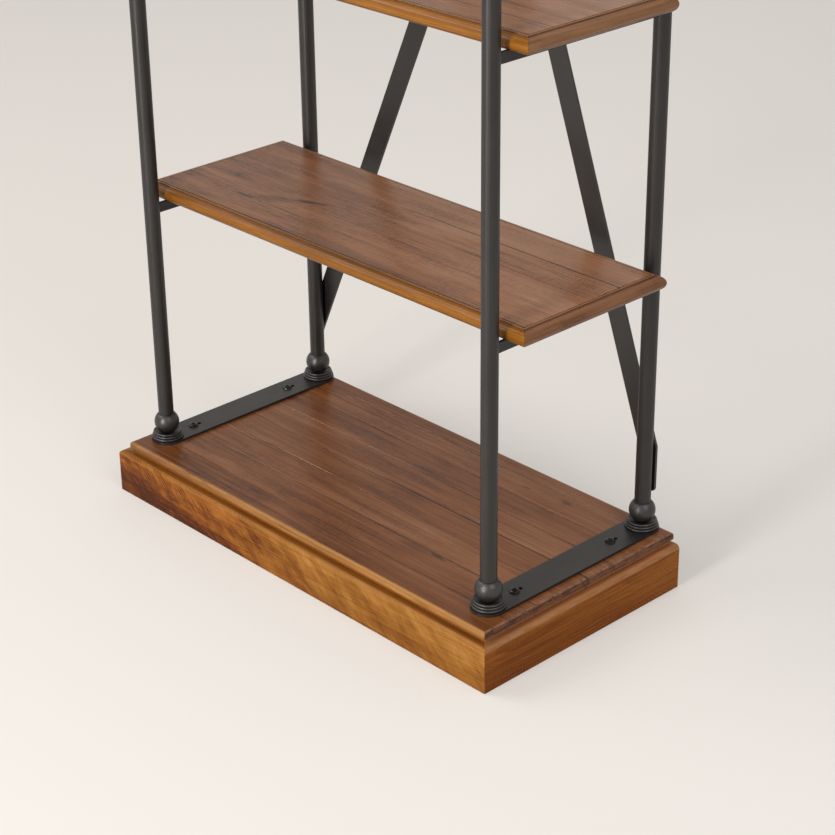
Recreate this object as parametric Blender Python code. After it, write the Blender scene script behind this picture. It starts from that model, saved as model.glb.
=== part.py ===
"""Tall shelving unit: a wooden plinth and five wooden shelves on four round steel posts.

Metres, +Z up. The origin lies on the floor under the middle of the plinth, and the
front of the unit faces -Y. The posts stand a little behind the middle of the plinth,
and two crossing flat bars brace the rear pair.
"""
import math

import bmesh
import bpy
from mathutils import Vector

# Clearances
FIT_GAP = 0.0003
CUT_OVERRUN = 0.002
MERGE_DISTANCE = 0.00001

# Plinth, four boards on the floor
PLINTH_WIDTH = 0.800
PLINTH_DEPTH = 0.392
PLINTH_HEIGHT = 0.0686
PLINTH_BOARD = 0.028
PLINTH_ROUND = 0.0066

# Base top, nosed planks over a recess
BASE_TOP_THICKNESS = 0.0175
BASE_TOP_LEFT_SETBACK = 0.0175
BASE_TOP_RIGHT_SETBACK = 0.0080
BASE_TOP_FRONT_SETBACK = 0.0076
BASE_TOP_REAR_SETBACK = 0.002
BASE_TOP_CORNER_ROUND = 0.004
NOSE_HEIGHT = 0.0109
NOSE_ROUND = 0.005
NOSE_EASE = 0.0015
RECESS_DEPTH = 0.0051
PLANK_JOINT_SHARES = (0.1255, 0.2615, 0.3962, 0.5269, 0.6642, 0.7897, 0.9231)
PLANK_JOINT_WIDTH = 0.0013
PLANK_JOINT_DEPTH = 0.0011

# Posts, round tube
SIDE_TO_POST = 0.0508
FRONT_TO_POST = 0.0579
REAR_TO_POST = 0.0249
POST_RADIUS = 0.0117
POST_WALL = 0.0015
POST_ABOVE_SHELVES = 0.2053

# Balls at the post ends
BALL_RADIUS = 0.0191
BALL_RIM_WIDTH = 0.001
SET_SCREW_RADIUS = 0.0012
SET_SCREW_DEPTH = 0.0015
SET_SCREW_TURN = math.radians(28)

# Foot flanges, stepped rings under a dish
FLANGE_RADIUS = 0.0246
FLANGE_RINGS = 3
FLANGE_RING_STEP = 0.0013
FLANGE_RING_RISE = 0.0038
DISH_FLOOR = 0.0062

# Floor bars and their screws
FLOOR_BAR_WIDTH = 0.050
FLOOR_BAR_THICKNESS = 0.004
FRONT_SCREW_FROM_POST = 0.0501
REAR_SCREW_FROM_POST = 0.0669
SLOT_REACH_BACK = 0.0118
SLOT_HALF_WIDTH = 0.0031
SCREW_HEAD_RADIUS = 0.0077
SCREW_HEAD_HEIGHT = 0.0039
SCREW_SHANK_RADIUS = 0.0022
SCREW_SHANK_LENGTH = 0.014
SCREW_CROSS_LENGTH = 0.0074
SCREW_CROSS_WIDTH = 0.0017
SCREW_CROSS_DEPTH = 0.0016

# Shelves
SHELF_COUNT = 5
BASE_TO_SHELF = 0.4081
SHELF_PITCH = 0.3763
SHELF_PAST_POST = 0.0422
SHELF_TO_POST = 0.0073
SHELF_THICKNESS = 0.0228
LIP_WIDTH = 0.0148
LIP_GROOVE_WIDTH = 0.0020
LIP_GROOVE_DEPTH = 0.0018
LIP_BEAD_WIDTH = 0.0022
LIP_DROP = 0.0004
LIP_STEP = 0.0016
SHELF_JOINT_SHARES = (0.2139, -0.2858)

# Bars that carry the shelves
SUPPORT_BAR_HEIGHT = 0.0145
SUPPORT_BAR_THICKNESS = 0.005

# Crossing braces behind the rear posts
BRACE_WIDTH = 0.0325
BRACE_THICKNESS = 0.004
LEFT_BRACE_RISE = 0.1212
LEFT_BRACE_DROP = 0.4447
RIGHT_BRACE_RISE = 0.108
RIGHT_BRACE_DROP = 0.0597
BRACE_TRIM_INSET = 0.0014
BRACE_LOW_TIP = 0.0510
BRACE_HIGH_TIP = 0.040
BRACE_LAP = 0.056
BRACE_BEND_STEPS = 4
BRACE_BOLT_RADIUS = 0.003
BRACE_BOLT_HEAD_RADIUS = 0.0068
BRACE_BOLT_HEAD_HEIGHT = 0.0038
BRACE_BOLT_REACH = 0.006
RIVET_RADIUS = 0.003
RIVET_HEAD_RADIUS = 0.0062
RIVET_HEAD_HEIGHT = 0.0028

# Facets on round shapes
POST_FACETS = 28
BALL_FACETS = 24
BALL_STEPS = 8
FLANGE_FACETS = 28
RING_STEPS = 3
DISH_STEPS = 4
BOLT_FACETS = 16
EDGE_STEPS = 4
LIP_STEPS = 6
CORNER_STEPS = 4
BAR_END_STEPS = 14
SMOOTH_LIMIT = math.radians(38)

# Colours and surface of the materials
WOOD_TOP_COLOUR = (0.205, 0.090, 0.047, 1.0)
WOOD_FACE_COLOUR = (0.400, 0.160, 0.032, 1.0)
WOOD_END_COLOUR = (0.205, 0.105, 0.045, 1.0)
STEEL_COLOUR = (0.045, 0.042, 0.040, 1.0)
SCREW_COLOUR = (0.028, 0.027, 0.026, 1.0)
WOOD_ROUGHNESS = 0.42
STEEL_ROUGHNESS = 0.48
SCREW_ROUGHNESS = 0.36

# Places worked out from the sizes above
PLINTH_HALF_X = PLINTH_WIDTH / 2
PLINTH_FRONT_Y = -PLINTH_DEPTH / 2
PLINTH_REAR_Y = PLINTH_DEPTH / 2
BASE_TOP_FRONT_Y = PLINTH_FRONT_Y + BASE_TOP_FRONT_SETBACK
BASE_TOP_REAR_Y = PLINTH_REAR_Y - BASE_TOP_REAR_SETBACK
BASE_TOP_Z = PLINTH_HEIGHT + FIT_GAP + BASE_TOP_THICKNESS
FLOOR_BAR_TOP_Z = BASE_TOP_Z + FIT_GAP + FLOOR_BAR_THICKNESS
FLANGE_BASE_Z = FLOOR_BAR_TOP_Z + FIT_GAP
FOOT_BALL_Z = FLANGE_BASE_Z + DISH_FLOOR + FIT_GAP + BALL_RADIUS
BALL_RIM_RADIUS = POST_RADIUS + BALL_RIM_WIDTH
SHELF_LOWEST_TOP = BASE_TOP_Z + BASE_TO_SHELF
POST_BASE_Z = FOOT_BALL_Z + FIT_GAP
POST_TOP = SHELF_LOWEST_TOP + (SHELF_COUNT - 1) * SHELF_PITCH + POST_ABOVE_SHELVES
FINIAL_Z = POST_TOP + FIT_GAP
POST_X = PLINTH_HALF_X - SIDE_TO_POST
FRONT_POST_Y = PLINTH_FRONT_Y + FRONT_TO_POST
REAR_POST_Y = PLINTH_REAR_Y - REAR_TO_POST
POSTS_MIDDLE_Y = (FRONT_POST_Y + REAR_POST_Y) / 2
POST_HALF_Y = (REAR_POST_Y - FRONT_POST_Y) / 2
SHELF_HALF_X = POST_X + SHELF_PAST_POST
SHELF_HALF_Y = POST_HALF_Y - POST_RADIUS - SHELF_TO_POST
LIP_ROUND = (SHELF_THICKNESS - LIP_DROP - LIP_STEP) / 2
LIP_MIDDLE_Z = LIP_ROUND - SHELF_THICKNESS
LEFT_BRACE_LOW = BASE_TOP_Z + LEFT_BRACE_RISE
LEFT_BRACE_HIGH = POST_TOP - LEFT_BRACE_DROP
RIGHT_BRACE_LOW = BASE_TOP_Z + RIGHT_BRACE_RISE
RIGHT_BRACE_HIGH = POST_TOP - RIGHT_BRACE_DROP
BRACE_TRIM = POST_RADIUS - BRACE_TRIM_INSET
BRACE_FRONT_Y = REAR_POST_Y + POST_RADIUS + FIT_GAP
BRACE_OFFSET = BRACE_THICKNESS + FIT_GAP

SIDES = (("left", -1), ("right", 1))


def clear_scene():
    for old in list(bpy.data.objects):
        bpy.data.objects.remove(old, do_unlink=True)


def make_material(name, colour, roughness):
    """Return a plain Principled material with the given colour and surface."""
    material = bpy.data.materials.new(name)
    material.use_nodes = True
    shader = material.node_tree.nodes["Principled BSDF"]
    shader.inputs["Base Color"].default_value = colour
    shader.inputs["Roughness"].default_value = roughness
    material.diffuse_color = colour
    return material


def wood(name, colour):
    return make_material(name, colour, WOOD_ROUGHNESS)


def steel(name):
    return make_material(name, STEEL_COLOUR, STEEL_ROUGHNESS)


def make_empty(name, location, parent=None):
    empty = bpy.data.objects.new(name, None)
    bpy.context.scene.collection.objects.link(empty)
    empty.location = location
    empty.parent = parent
    return empty


def shade(mesh):
    """Shade smooth, with sharp edges kept at the corners."""
    mesh.shade_smooth()
    mesh.set_sharp_from_angle(angle=SMOOTH_LIMIT)


def finish(name, bm, location, parent, material=None):
    """Turn a bmesh into an object under its parent."""
    bmesh.ops.remove_doubles(bm, verts=bm.verts, dist=MERGE_DISTANCE)
    bmesh.ops.recalc_face_normals(bm, faces=bm.faces)
    mesh = bpy.data.meshes.new(name)
    bm.to_mesh(mesh)
    bm.free()
    shade(mesh)
    made = bpy.data.objects.new(name, mesh)
    bpy.context.scene.collection.objects.link(made)
    made.location = location
    made.parent = parent
    if material:
        mesh.materials.append(material)
    return made


def cut(target, cutters):
    """Subtract the cutters and shade the cut piece afresh, so that the cuts stay crisp."""
    for cutter in cutters:
        modifier = target.modifiers.new(cutter.name, "BOOLEAN")
        modifier.operation = "DIFFERENCE"
        modifier.solver = "EXACT"
        modifier.object = cutter
    graph = bpy.context.evaluated_depsgraph_get()
    mesh = bpy.data.meshes.new_from_object(target.evaluated_get(graph))
    target.modifiers.clear()
    target.data = mesh
    shade(mesh)
    for cutter in cutters:
        bpy.data.objects.remove(cutter, do_unlink=True)


def loft(bm, rings):
    """Bridge closed rings of points with quads and cap the first and last ring."""
    loops = [[bm.verts.new(point) for point in ring] for ring in rings]
    count = len(loops[0])
    for lower, upper in zip(loops, loops[1:]):
        for i in range(count):
            j = (i + 1) % count
            bm.faces.new((lower[i], lower[j], upper[j], upper[i]))
    bm.faces.new(reversed(loops[0]))
    bm.faces.new(loops[-1])


def spin(bm, profile, facets, closed):
    """Turn a profile of (radius, height) points about the Z axis."""
    points = [bm.verts.new((radius, 0, height)) for radius, height in profile]
    pairs = list(zip(points, points[1:]))
    if closed:
        pairs.append((points[-1], points[0]))
    edges = [bm.edges.new(pair) for pair in pairs]
    bmesh.ops.spin(
        bm,
        geom=points + edges,
        cent=(0, 0, 0),
        axis=(0, 0, 1),
        angle=math.tau,
        steps=facets,
        use_merge=True,
    )


def lie_along_y(bm):
    """Turn a shape made along +Z so that it points along +Y."""
    for vert in bm.verts:
        x, y, z = vert.co
        vert.co = Vector((x, z, -y))


def arc(centre, radius, start, end, steps):
    """Points on an arc, both ends included."""
    points = []
    for i in range(steps + 1):
        angle = start + (end - start) * i / steps
        points.append((centre[0] + radius * math.cos(angle), centre[1] + radius * math.sin(angle)))
    return points


def quarter(from_point, to_point, bulge_x, steps):
    """Points on a quarter ellipse; bulge_x tells whether it leaves along the first axis."""
    (x0, z0), (x1, z1) = from_point, to_point
    points = []
    for i in range(steps + 1):
        turn = math.pi / 2 * i / steps
        along, across = math.sin(turn), 1 - math.cos(turn)
        if bulge_x:
            points.append((x0 + (x1 - x0) * along, z0 + (z1 - z0) * across))
        else:
            points.append((x0 + (x1 - x0) * across, z0 + (z1 - z0) * along))
    return points


def cylinder_points(radius, facets):
    return [
        (radius * math.cos(math.tau * i / facets), radius * math.sin(math.tau * i / facets))
        for i in range(facets)
    ]


def rod_cutter(name, location, radius, low, high, parent, along_y=False):
    """A round cutter from low to high along Z, or along Y."""
    bm = bmesh.new()
    ring = cylinder_points(radius, BOLT_FACETS)
    loft(bm, [[(x, y, low) for x, y in ring], [(x, y, high) for x, y in ring]])
    if along_y:
        lie_along_y(bm)
    return finish(name, bm, location, parent)


# Plinth


def plinth_profile():
    """Moulded board section as (distance in from the outer face, height)."""
    face_top = (0, PLINTH_HEIGHT - PLINTH_ROUND)
    round_end = (PLINTH_ROUND, PLINTH_HEIGHT)
    return [
        (PLINTH_BOARD, 0),
        (0, 0),
        *quarter(face_top, round_end, False, EDGE_STEPS),
        (PLINTH_BOARD, PLINTH_HEIGHT),
    ]


def build_plinth(parent):
    profile = plinth_profile()

    front = bmesh.new()
    ends = []
    for side in (-1, 1):
        ends.append([
            (side * (PLINTH_HALF_X - inward - FIT_GAP), PLINTH_FRONT_Y + inward, height)
            for inward, height in profile
        ])
    loft(front, ends)
    finish("plinth_front", front, (0, 0, 0), parent, wood("plinth_front_wood", WOOD_FACE_COLOUR))

    for name, side in SIDES:
        board = bmesh.new()
        mitred = [
            (side * (PLINTH_HALF_X - inward), PLINTH_FRONT_Y + inward, height)
            for inward, height in profile
        ]
        square = [(x, PLINTH_REAR_Y, height) for x, _, height in mitred]
        loft(board, [mitred, square])
        node = "plinth_" + name
        finish(node, board, (0, 0, 0), parent, wood(node + "_wood", WOOD_END_COLOUR))

    rear = bmesh.new()
    half = PLINTH_HALF_X - PLINTH_BOARD - FIT_GAP
    inner_y = PLINTH_REAR_Y - PLINTH_BOARD
    outline = [(-half, inner_y), (half, inner_y), (half, PLINTH_REAR_Y), (-half, PLINTH_REAR_Y)]
    loft(rear, [[(x, y, 0) for x, y in outline], [(x, y, PLINTH_HEIGHT) for x, y in outline]])
    finish("plinth_rear", rear, (0, 0, 0), parent, wood("plinth_rear_wood", WOOD_END_COLOUR))


# Base top


def base_top_rings():
    """Edge section from the underside up, as (inset, height)."""
    nose_low = BASE_TOP_THICKNESS - NOSE_HEIGHT
    rings = [(RECESS_DEPTH, 0), (RECESS_DEPTH, nose_low), (NOSE_EASE, nose_low)]
    rings.append((0, nose_low + NOSE_EASE))
    start = (0, BASE_TOP_THICKNESS - NOSE_ROUND)
    end = (NOSE_ROUND, BASE_TOP_THICKNESS)
    return rings + quarter(start, end, False, EDGE_STEPS)


def rounded_rectangle(low, high, inset, corner):
    """Outline of a rectangle moved in by an inset, with round corners."""
    radius = max(corner - inset, corner / 2)
    west, south = low[0] + inset + radius, low[1] + inset + radius
    east, north = high[0] - inset - radius, high[1] - inset - radius
    outline = []
    for quarter_turn, centre in enumerate(((east, north), (west, north), (west, south), (east, south))):
        start = quarter_turn * math.pi / 2
        outline += arc(centre, radius, start, start + math.pi / 2, CORNER_STEPS)
    return outline


def build_base_top(parent):
    west = BASE_TOP_LEFT_SETBACK - PLINTH_HALF_X
    east = PLINTH_HALF_X - BASE_TOP_RIGHT_SETBACK
    low, high = (west, BASE_TOP_FRONT_Y), (east, BASE_TOP_REAR_Y)
    bm = bmesh.new()
    rings = []
    for inset, height in base_top_rings():
        outline = rounded_rectangle(low, high, inset, BASE_TOP_CORNER_ROUND)
        rings.append([(x, y, height) for x, y in outline])
    loft(bm, rings)
    base_z = PLINTH_HEIGHT + FIT_GAP
    top = finish("base_top", bm, (0, 0, base_z), parent, wood("base_top_wood", WOOD_TOP_COLOUR))

    joints = bmesh.new()
    reach = PLINTH_HALF_X + CUT_OVERRUN
    flare = (PLANK_JOINT_DEPTH + CUT_OVERRUN) / PLANK_JOINT_DEPTH
    half_mouth = PLANK_JOINT_WIDTH / 2 * flare
    for share in PLANK_JOINT_SHARES:
        joint_y = BASE_TOP_FRONT_Y + share * (BASE_TOP_REAR_Y - BASE_TOP_FRONT_Y)
        section = [
            (joint_y, BASE_TOP_THICKNESS - PLANK_JOINT_DEPTH),
            (joint_y + half_mouth, BASE_TOP_THICKNESS + CUT_OVERRUN),
            (joint_y - half_mouth, BASE_TOP_THICKNESS + CUT_OVERRUN),
        ]
        loft(joints, [[(x, y, z) for y, z in section] for x in (-reach, reach)])
    cutters = [finish("cut_base_top_joints", joints, (0, 0, base_z), parent)]
    hole_radius = SCREW_SHANK_RADIUS + FIT_GAP
    hole_ends = (BASE_TOP_Z - SCREW_SHANK_LENGTH - FIT_GAP, BASE_TOP_Z + CUT_OVERRUN)
    for name, (x, y) in floor_screw_places().items():
        cutters.append(rod_cutter("cut_" + name, (x, y, 0), hole_radius, *hole_ends, parent))
    cut(top, cutters)


# Floor bars and screws


def floor_screw_places():
    """Screw centres by name, on the middle line of each floor bar."""
    rows = (("front", FRONT_POST_Y + FRONT_SCREW_FROM_POST), ("rear", REAR_POST_Y - REAR_SCREW_FROM_POST))
    return {
        end_name + "_" + side_name: (side * POST_X, y)
        for side_name, side in SIDES
        for end_name, y in rows
    }


def stadium(half_width, near_y, far_y, steps):
    """Outline with round ends whose centres lie at near_y and far_y."""
    outline = arc((0, far_y), half_width, 0, math.pi, steps)
    outline += arc((0, near_y), half_width, math.pi, math.tau, steps)
    return outline


def build_floor_bars(parent):
    for side_name, side in SIDES:
        name = "floor_bar_" + side_name
        place = (side * POST_X, 0, BASE_TOP_Z + FIT_GAP)
        bm = bmesh.new()
        outline = stadium(FLOOR_BAR_WIDTH / 2, FRONT_POST_Y, REAR_POST_Y, BAR_END_STEPS)
        loft(bm, [[(x, y, z) for x, y in outline] for z in (0, FLOOR_BAR_THICKNESS)])
        bar = finish(name, bm, place, parent, steel(name + "_steel"))
        slots = bmesh.new()
        heights = (-CUT_OVERRUN, FLOOR_BAR_THICKNESS + CUT_OVERRUN)
        for screw, (_, y) in floor_screw_places().items():
            if screw.endswith(side_name):
                slot = stadium(SLOT_HALF_WIDTH, y, y + SLOT_REACH_BACK, EDGE_STEPS)
                loft(slots, [[(px, py, z) for px, py in slot] for z in heights])
        cut(bar, [finish("cut_" + name, slots, place, parent)])


def build_floor_screws(parent):
    """Pan-head screws with a cross recess, seated on the floor bars."""
    dome = quarter((SCREW_HEAD_RADIUS, 0), (0, SCREW_HEAD_HEIGHT), False, EDGE_STEPS)
    shank_end = -SCREW_SHANK_LENGTH - FLOOR_BAR_THICKNESS - FIT_GAP - FIT_GAP
    profile = [(0, shank_end), (SCREW_SHANK_RADIUS, shank_end), (SCREW_SHANK_RADIUS, 0), *dome]
    half_long = SCREW_CROSS_LENGTH / 2
    half_wide = SCREW_CROSS_WIDTH / 2
    cross = []
    for turn in range(4):
        cosine, sine = round(math.cos(turn * math.pi / 2)), round(math.sin(turn * math.pi / 2))
        for x, y in ((half_long, -half_wide), (half_long, half_wide), (half_wide, half_wide)):
            cross.append((x * cosine - y * sine, x * sine + y * cosine))
    for name, (x, y) in floor_screw_places().items():
        node = "floor_screw_" + name
        place = (x, y, FLOOR_BAR_TOP_Z + FIT_GAP)
        bm = bmesh.new()
        spin(bm, profile, BOLT_FACETS, False)
        material = make_material(node + "_steel", SCREW_COLOUR, SCREW_ROUGHNESS)
        screw = finish(node, bm, place, parent, material)
        recess = bmesh.new()
        heights = (SCREW_HEAD_HEIGHT - SCREW_CROSS_DEPTH, SCREW_HEAD_HEIGHT + CUT_OVERRUN)
        loft(recess, [[(px, py, z) for px, py in cross] for z in heights])
        cut(screw, [finish("cut_" + node, recess, place, parent)])


# Posts with their feet and finials


def post_places():
    """Post centre lines by name."""
    return {
        end_name + "_" + side_name: (side * POST_X, y)
        for end_name, y in (("front", FRONT_POST_Y), ("rear", REAR_POST_Y))
        for side_name, side in SIDES
    }


def ball_profile():
    """Ball with a socket for the post in its top, from its bottom point up."""
    rim_angle = math.acos(BALL_RIM_RADIUS / BALL_RADIUS)
    profile = arc((0, 0), BALL_RADIUS, -math.pi / 2, rim_angle, BALL_STEPS)
    profile[0] = (0, -BALL_RADIUS)
    rim_z = profile[-1][1]
    socket = POST_RADIUS + FIT_GAP
    profile += [(socket, rim_z), (socket, 0), (0, 0)]
    return profile


def flange_profile():
    """Stepped round rings that narrow upward to a dish under the ball."""
    ring_radius = FLANGE_RING_RISE / 2
    profile = [(0, 0)]
    for ring in range(FLANGE_RINGS):
        ring_out = FLANGE_RADIUS - ring_radius - ring * FLANGE_RING_STEP
        centre = (ring_out, ring_radius + ring * FLANGE_RING_RISE)
        profile += arc(centre, ring_radius, -math.pi / 2, math.pi / 2, RING_STEPS)
    rim_radius, rim_height = profile[-1]
    depth = rim_height - DISH_FLOOR
    dish_radius = (rim_radius**2 + depth**2) / (2 * depth)
    dish_angle = math.asin(rim_radius / dish_radius)
    centre = (0, DISH_FLOOR + dish_radius)
    dish = arc(centre, dish_radius, dish_angle - math.pi / 2, -math.pi / 2, DISH_STEPS)
    dish[-1] = (0, DISH_FLOOR)
    return profile + dish[1:]


def build_foot(name, place, parent):
    x, y = place
    flange = bmesh.new()
    spin(flange, flange_profile(), FLANGE_FACETS, False)
    node = "foot_flange_" + name
    finish(node, flange, (x, y, FLANGE_BASE_Z), parent, steel(node + "_steel"))

    ball = bmesh.new()
    spin(ball, ball_profile(), BALL_FACETS, False)
    node = "foot_ball_" + name
    made = finish(node, ball, (x, y, FOOT_BALL_Z), parent, steel(node + "_steel"))
    out = BALL_RIM_RADIUS + SET_SCREW_RADIUS
    hole_x = x + out * math.cos(SET_SCREW_TURN)
    hole_y = y + out * math.sin(SET_SCREW_TURN)
    floor = math.sqrt(BALL_RADIUS**2 - out**2) - SET_SCREW_DEPTH
    hole = rod_cutter(
        "cut_" + node, (hole_x, hole_y, FOOT_BALL_Z), SET_SCREW_RADIUS, floor, BALL_RADIUS, parent
    )
    cut(made, [hole])


def build_finial(name, place, parent):
    x, y = place
    ball = bmesh.new()
    spin(ball, [(radius, -height) for radius, height in ball_profile()], BALL_FACETS, False)
    node = "finial_" + name
    finish(node, ball, (x, y, FINIAL_Z), parent, steel(node + "_steel"))


def build_post(name, place, parent):
    x, y = place
    length = POST_TOP - POST_BASE_Z
    bore = POST_RADIUS - POST_WALL
    tube = bmesh.new()
    spin(tube, [(bore, 0), (POST_RADIUS, 0), (POST_RADIUS, length), (bore, length)], POST_FACETS, True)
    node = "post_" + name
    post = finish(node, tube, (x, y, POST_BASE_Z), parent, steel(node + "_steel"))
    holes = []
    for bolt, (bolt_x, bolt_z) in brace_bolt_places().items():
        if name.startswith("rear") and bolt_x == x:
            reach = POST_RADIUS + CUT_OVERRUN
            radius = BRACE_BOLT_RADIUS + FIT_GAP
            holes.append(rod_cutter("cut_" + bolt, (x, y, bolt_z), radius, 0, reach, parent, along_y=True))
    if holes:
        cut(post, holes)


# Shelves


def lip_top():
    """Edge moulding from the outermost point up and in to the groove, as (inward, height)."""
    step_z = -LIP_DROP - LIP_STEP
    bead_inner = LIP_WIDTH - LIP_GROOVE_WIDTH / 2
    bead_outer = bead_inner - LIP_BEAD_WIDTH
    bullnose = quarter((0, LIP_MIDDLE_Z), (LIP_ROUND, step_z), False, LIP_STEPS)
    bead = [(bead_outer, step_z), (bead_outer, -LIP_DROP), (bead_inner, -LIP_DROP)]
    return bullnose + bead + [(LIP_WIDTH, -LIP_GROOVE_DEPTH)]


def lip_bottom():
    """Lower half of the bullnose, from the underside out to just below the outermost point."""
    return quarter((LIP_ROUND, -SHELF_THICKNESS), (0, LIP_MIDDLE_Z), True, LIP_STEPS)[:-1]


def shelf_panel_section(joint_y):
    """Cross-section of a panel with both long lips and one plank joint, as (y, z)."""
    lip = lip_bottom() + lip_top()
    inner = SHELF_HALF_Y - LIP_WIDTH - LIP_GROOVE_WIDTH / 2
    half_joint = PLANK_JOINT_WIDTH / 2
    front = [(inward - SHELF_HALF_Y, height) for inward, height in lip]
    rear = [(SHELF_HALF_Y - inward, height) for inward, height in reversed(lip)]
    middle = [
        (-inner, 0),
        (joint_y - half_joint, 0),
        (joint_y, -PLANK_JOINT_DEPTH),
        (joint_y + half_joint, 0),
        (inner, 0),
    ]
    return front + middle + rear


def build_shelf_panel(name, joint_y, parent):
    """Panel whose ends are square between the grooves and mitred across the long lips."""
    bm = bmesh.new()
    section = shelf_panel_section(joint_y)
    groove_y = SHELF_HALF_Y - LIP_WIDTH
    points = [(-groove_y, -SHELF_THICKNESS)] + section + [(groove_y, -SHELF_THICKNESS)]
    ends = []
    for side in (-1, 1):
        row = []
        for y, z in points:
            inward = min(SHELF_HALF_Y - abs(y), LIP_WIDTH)
            row.append(bm.verts.new((side * (SHELF_HALF_X - inward - FIT_GAP), y, z)))
        ends.append(row)
    count = len(points)
    for i in range(count):
        j = (i + 1) % count
        bm.faces.new((ends[0][i], ends[0][j], ends[1][j], ends[1][i]))
    groove = len(lip_bottom()) + len(lip_top())
    for row in ends:
        bm.faces.new(row[: groove + 1])
        bm.faces.new([row[0]] + row[groove : count - groove] + [row[-1]])
        bm.faces.new(row[count - groove - 1 :])
    finish(name, bm, (0, 0, 0), parent, wood(name + "_wood", WOOD_TOP_COLOUR))


def build_shelf_end_lip(name, side, parent):
    bm = bmesh.new()
    section = [(LIP_WIDTH, -SHELF_THICKNESS)] + lip_bottom() + lip_top()
    ends = []
    for end in (-1, 1):
        ends.append([
            (side * (SHELF_HALF_X - inward), end * (SHELF_HALF_Y - inward), height)
            for inward, height in section
        ])
    loft(bm, ends)
    finish(name, bm, (0, 0, 0), parent, wood(name + "_wood", WOOD_END_COLOUR))


def build_support_bar(name, side, parent):
    """Flat bar on edge between a front and a rear post, under the shelf."""
    bm = bmesh.new()
    half_length = POST_HALF_Y - POST_RADIUS - FIT_GAP
    half_thick = SUPPORT_BAR_THICKNESS / 2
    top = -SHELF_THICKNESS - FIT_GAP
    outline = [(-half_thick, top - SUPPORT_BAR_HEIGHT), (half_thick, top - SUPPORT_BAR_HEIGHT)]
    outline += [(half_thick, top), (-half_thick, top)]
    loft(bm, [[(x, y, z) for x, z in outline] for y in (-half_length, half_length)])
    finish(name, bm, (side * POST_X, 0, 0), parent, steel(name + "_steel"))


def build_shelves(parent):
    for number in range(1, SHELF_COUNT + 1):
        name = "shelf_" + str(number)
        top_z = SHELF_LOWEST_TOP + (number - 1) * SHELF_PITCH
        level = make_empty(name, (0, POSTS_MIDDLE_Y, top_z), parent)
        joint_y = SHELF_JOINT_SHARES[(number - 1) % len(SHELF_JOINT_SHARES)] * SHELF_HALF_Y * 2
        build_shelf_panel(name + "_panel", joint_y, level)
        for side_name, side in SIDES:
            build_shelf_end_lip(name + "_lip_" + side_name, side, level)
            build_support_bar(name + "_bar_" + side_name, side, level)


# Braces


def brace_bolt_places():
    """Bolt centres by name, where each brace crosses a post's centre line."""
    return {
        "brace_bolt_left_low": (-POST_X, LEFT_BRACE_LOW),
        "brace_bolt_left_high": (POST_X, LEFT_BRACE_HIGH),
        "brace_bolt_right_low": (POST_X, RIGHT_BRACE_LOW),
        "brace_bolt_right_high": (-POST_X, RIGHT_BRACE_HIGH),
    }


def brace_lean(low, high):
    """Sideways travel of a brace for each metre of height."""
    return 2 * POST_X / (high - low)


def brace_crossing():
    """Place (x, z) where the two centre lines cross."""
    left = brace_lean(LEFT_BRACE_LOW, LEFT_BRACE_HIGH)
    right = brace_lean(RIGHT_BRACE_LOW, RIGHT_BRACE_HIGH)
    z = (2 * POST_X + left * LEFT_BRACE_LOW + right * RIGHT_BRACE_LOW) / (left + right)
    return left * (z - LEFT_BRACE_LOW) - POST_X, z


def brace_tip(lean, reach):
    """Lower end trimmed upright beside the post, about its bolt, as (out, up)."""
    slant = math.atan(lean)
    half = BRACE_WIDTH / 2 / math.cos(slant)
    radius = (BRACE_TRIM + half - lean * reach) / (1 + 1 / math.cos(slant) - lean)
    tip = [(BRACE_TRIM, (half - BRACE_TRIM) / lean)]
    centre = (BRACE_TRIM - radius, radius - reach)
    return tip + arc(centre, radius, 0, slant - math.pi, EDGE_STEPS)


def brace_outline(side, low, high):
    """Outline (x, z) of a brace whose low end is at the post on the given side."""
    lean = brace_lean(low, high)
    lower = [(side * (POST_X + out), low + up) for out, up in brace_tip(lean, BRACE_LOW_TIP)]
    upper = [(-side * (POST_X + out), high - up) for out, up in brace_tip(lean, BRACE_HIGH_TIP)]
    return lower + upper


def brace_plate(side, low, high):
    bm = bmesh.new()
    outline = brace_outline(side, low, high)
    depths = (BRACE_FRONT_Y, BRACE_FRONT_Y + BRACE_THICKNESS)
    loft(bm, [[(x, y, z) for x, z in outline] for y in depths])
    return bm


def bend_over_crossing(bm, low, high):
    """Set the plate back by its thickness where it passes behind the other brace."""
    crossing_z = brace_crossing()[1]
    ramps = ((low, crossing_z - BRACE_LAP), (high, crossing_z + BRACE_LAP))
    for start, end in ramps:
        for step in range(BRACE_BEND_STEPS + 1):
            height = start + (end - start) * step / BRACE_BEND_STEPS
            geometry = bm.verts[:] + bm.edges[:] + bm.faces[:]
            bmesh.ops.bisect_plane(bm, geom=geometry, plane_co=(0, 0, height), plane_no=(0, 0, 1))
    for vert in bm.verts:
        start, end = ramps[0] if vert.co.z < crossing_z else ramps[1]
        share = min(max((vert.co.z - start) / (end - start), 0), 1)
        vert.co.y += BRACE_OFFSET * share * share * (3 - 2 * share)


def brace_hole(name, x, z, radius, parent):
    return rod_cutter(
        name,
        (x, BRACE_FRONT_Y, z),
        radius + FIT_GAP,
        -CUT_OVERRUN,
        BRACE_OFFSET + BRACE_THICKNESS + CUT_OVERRUN,
        parent,
        along_y=True,
    )


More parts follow.
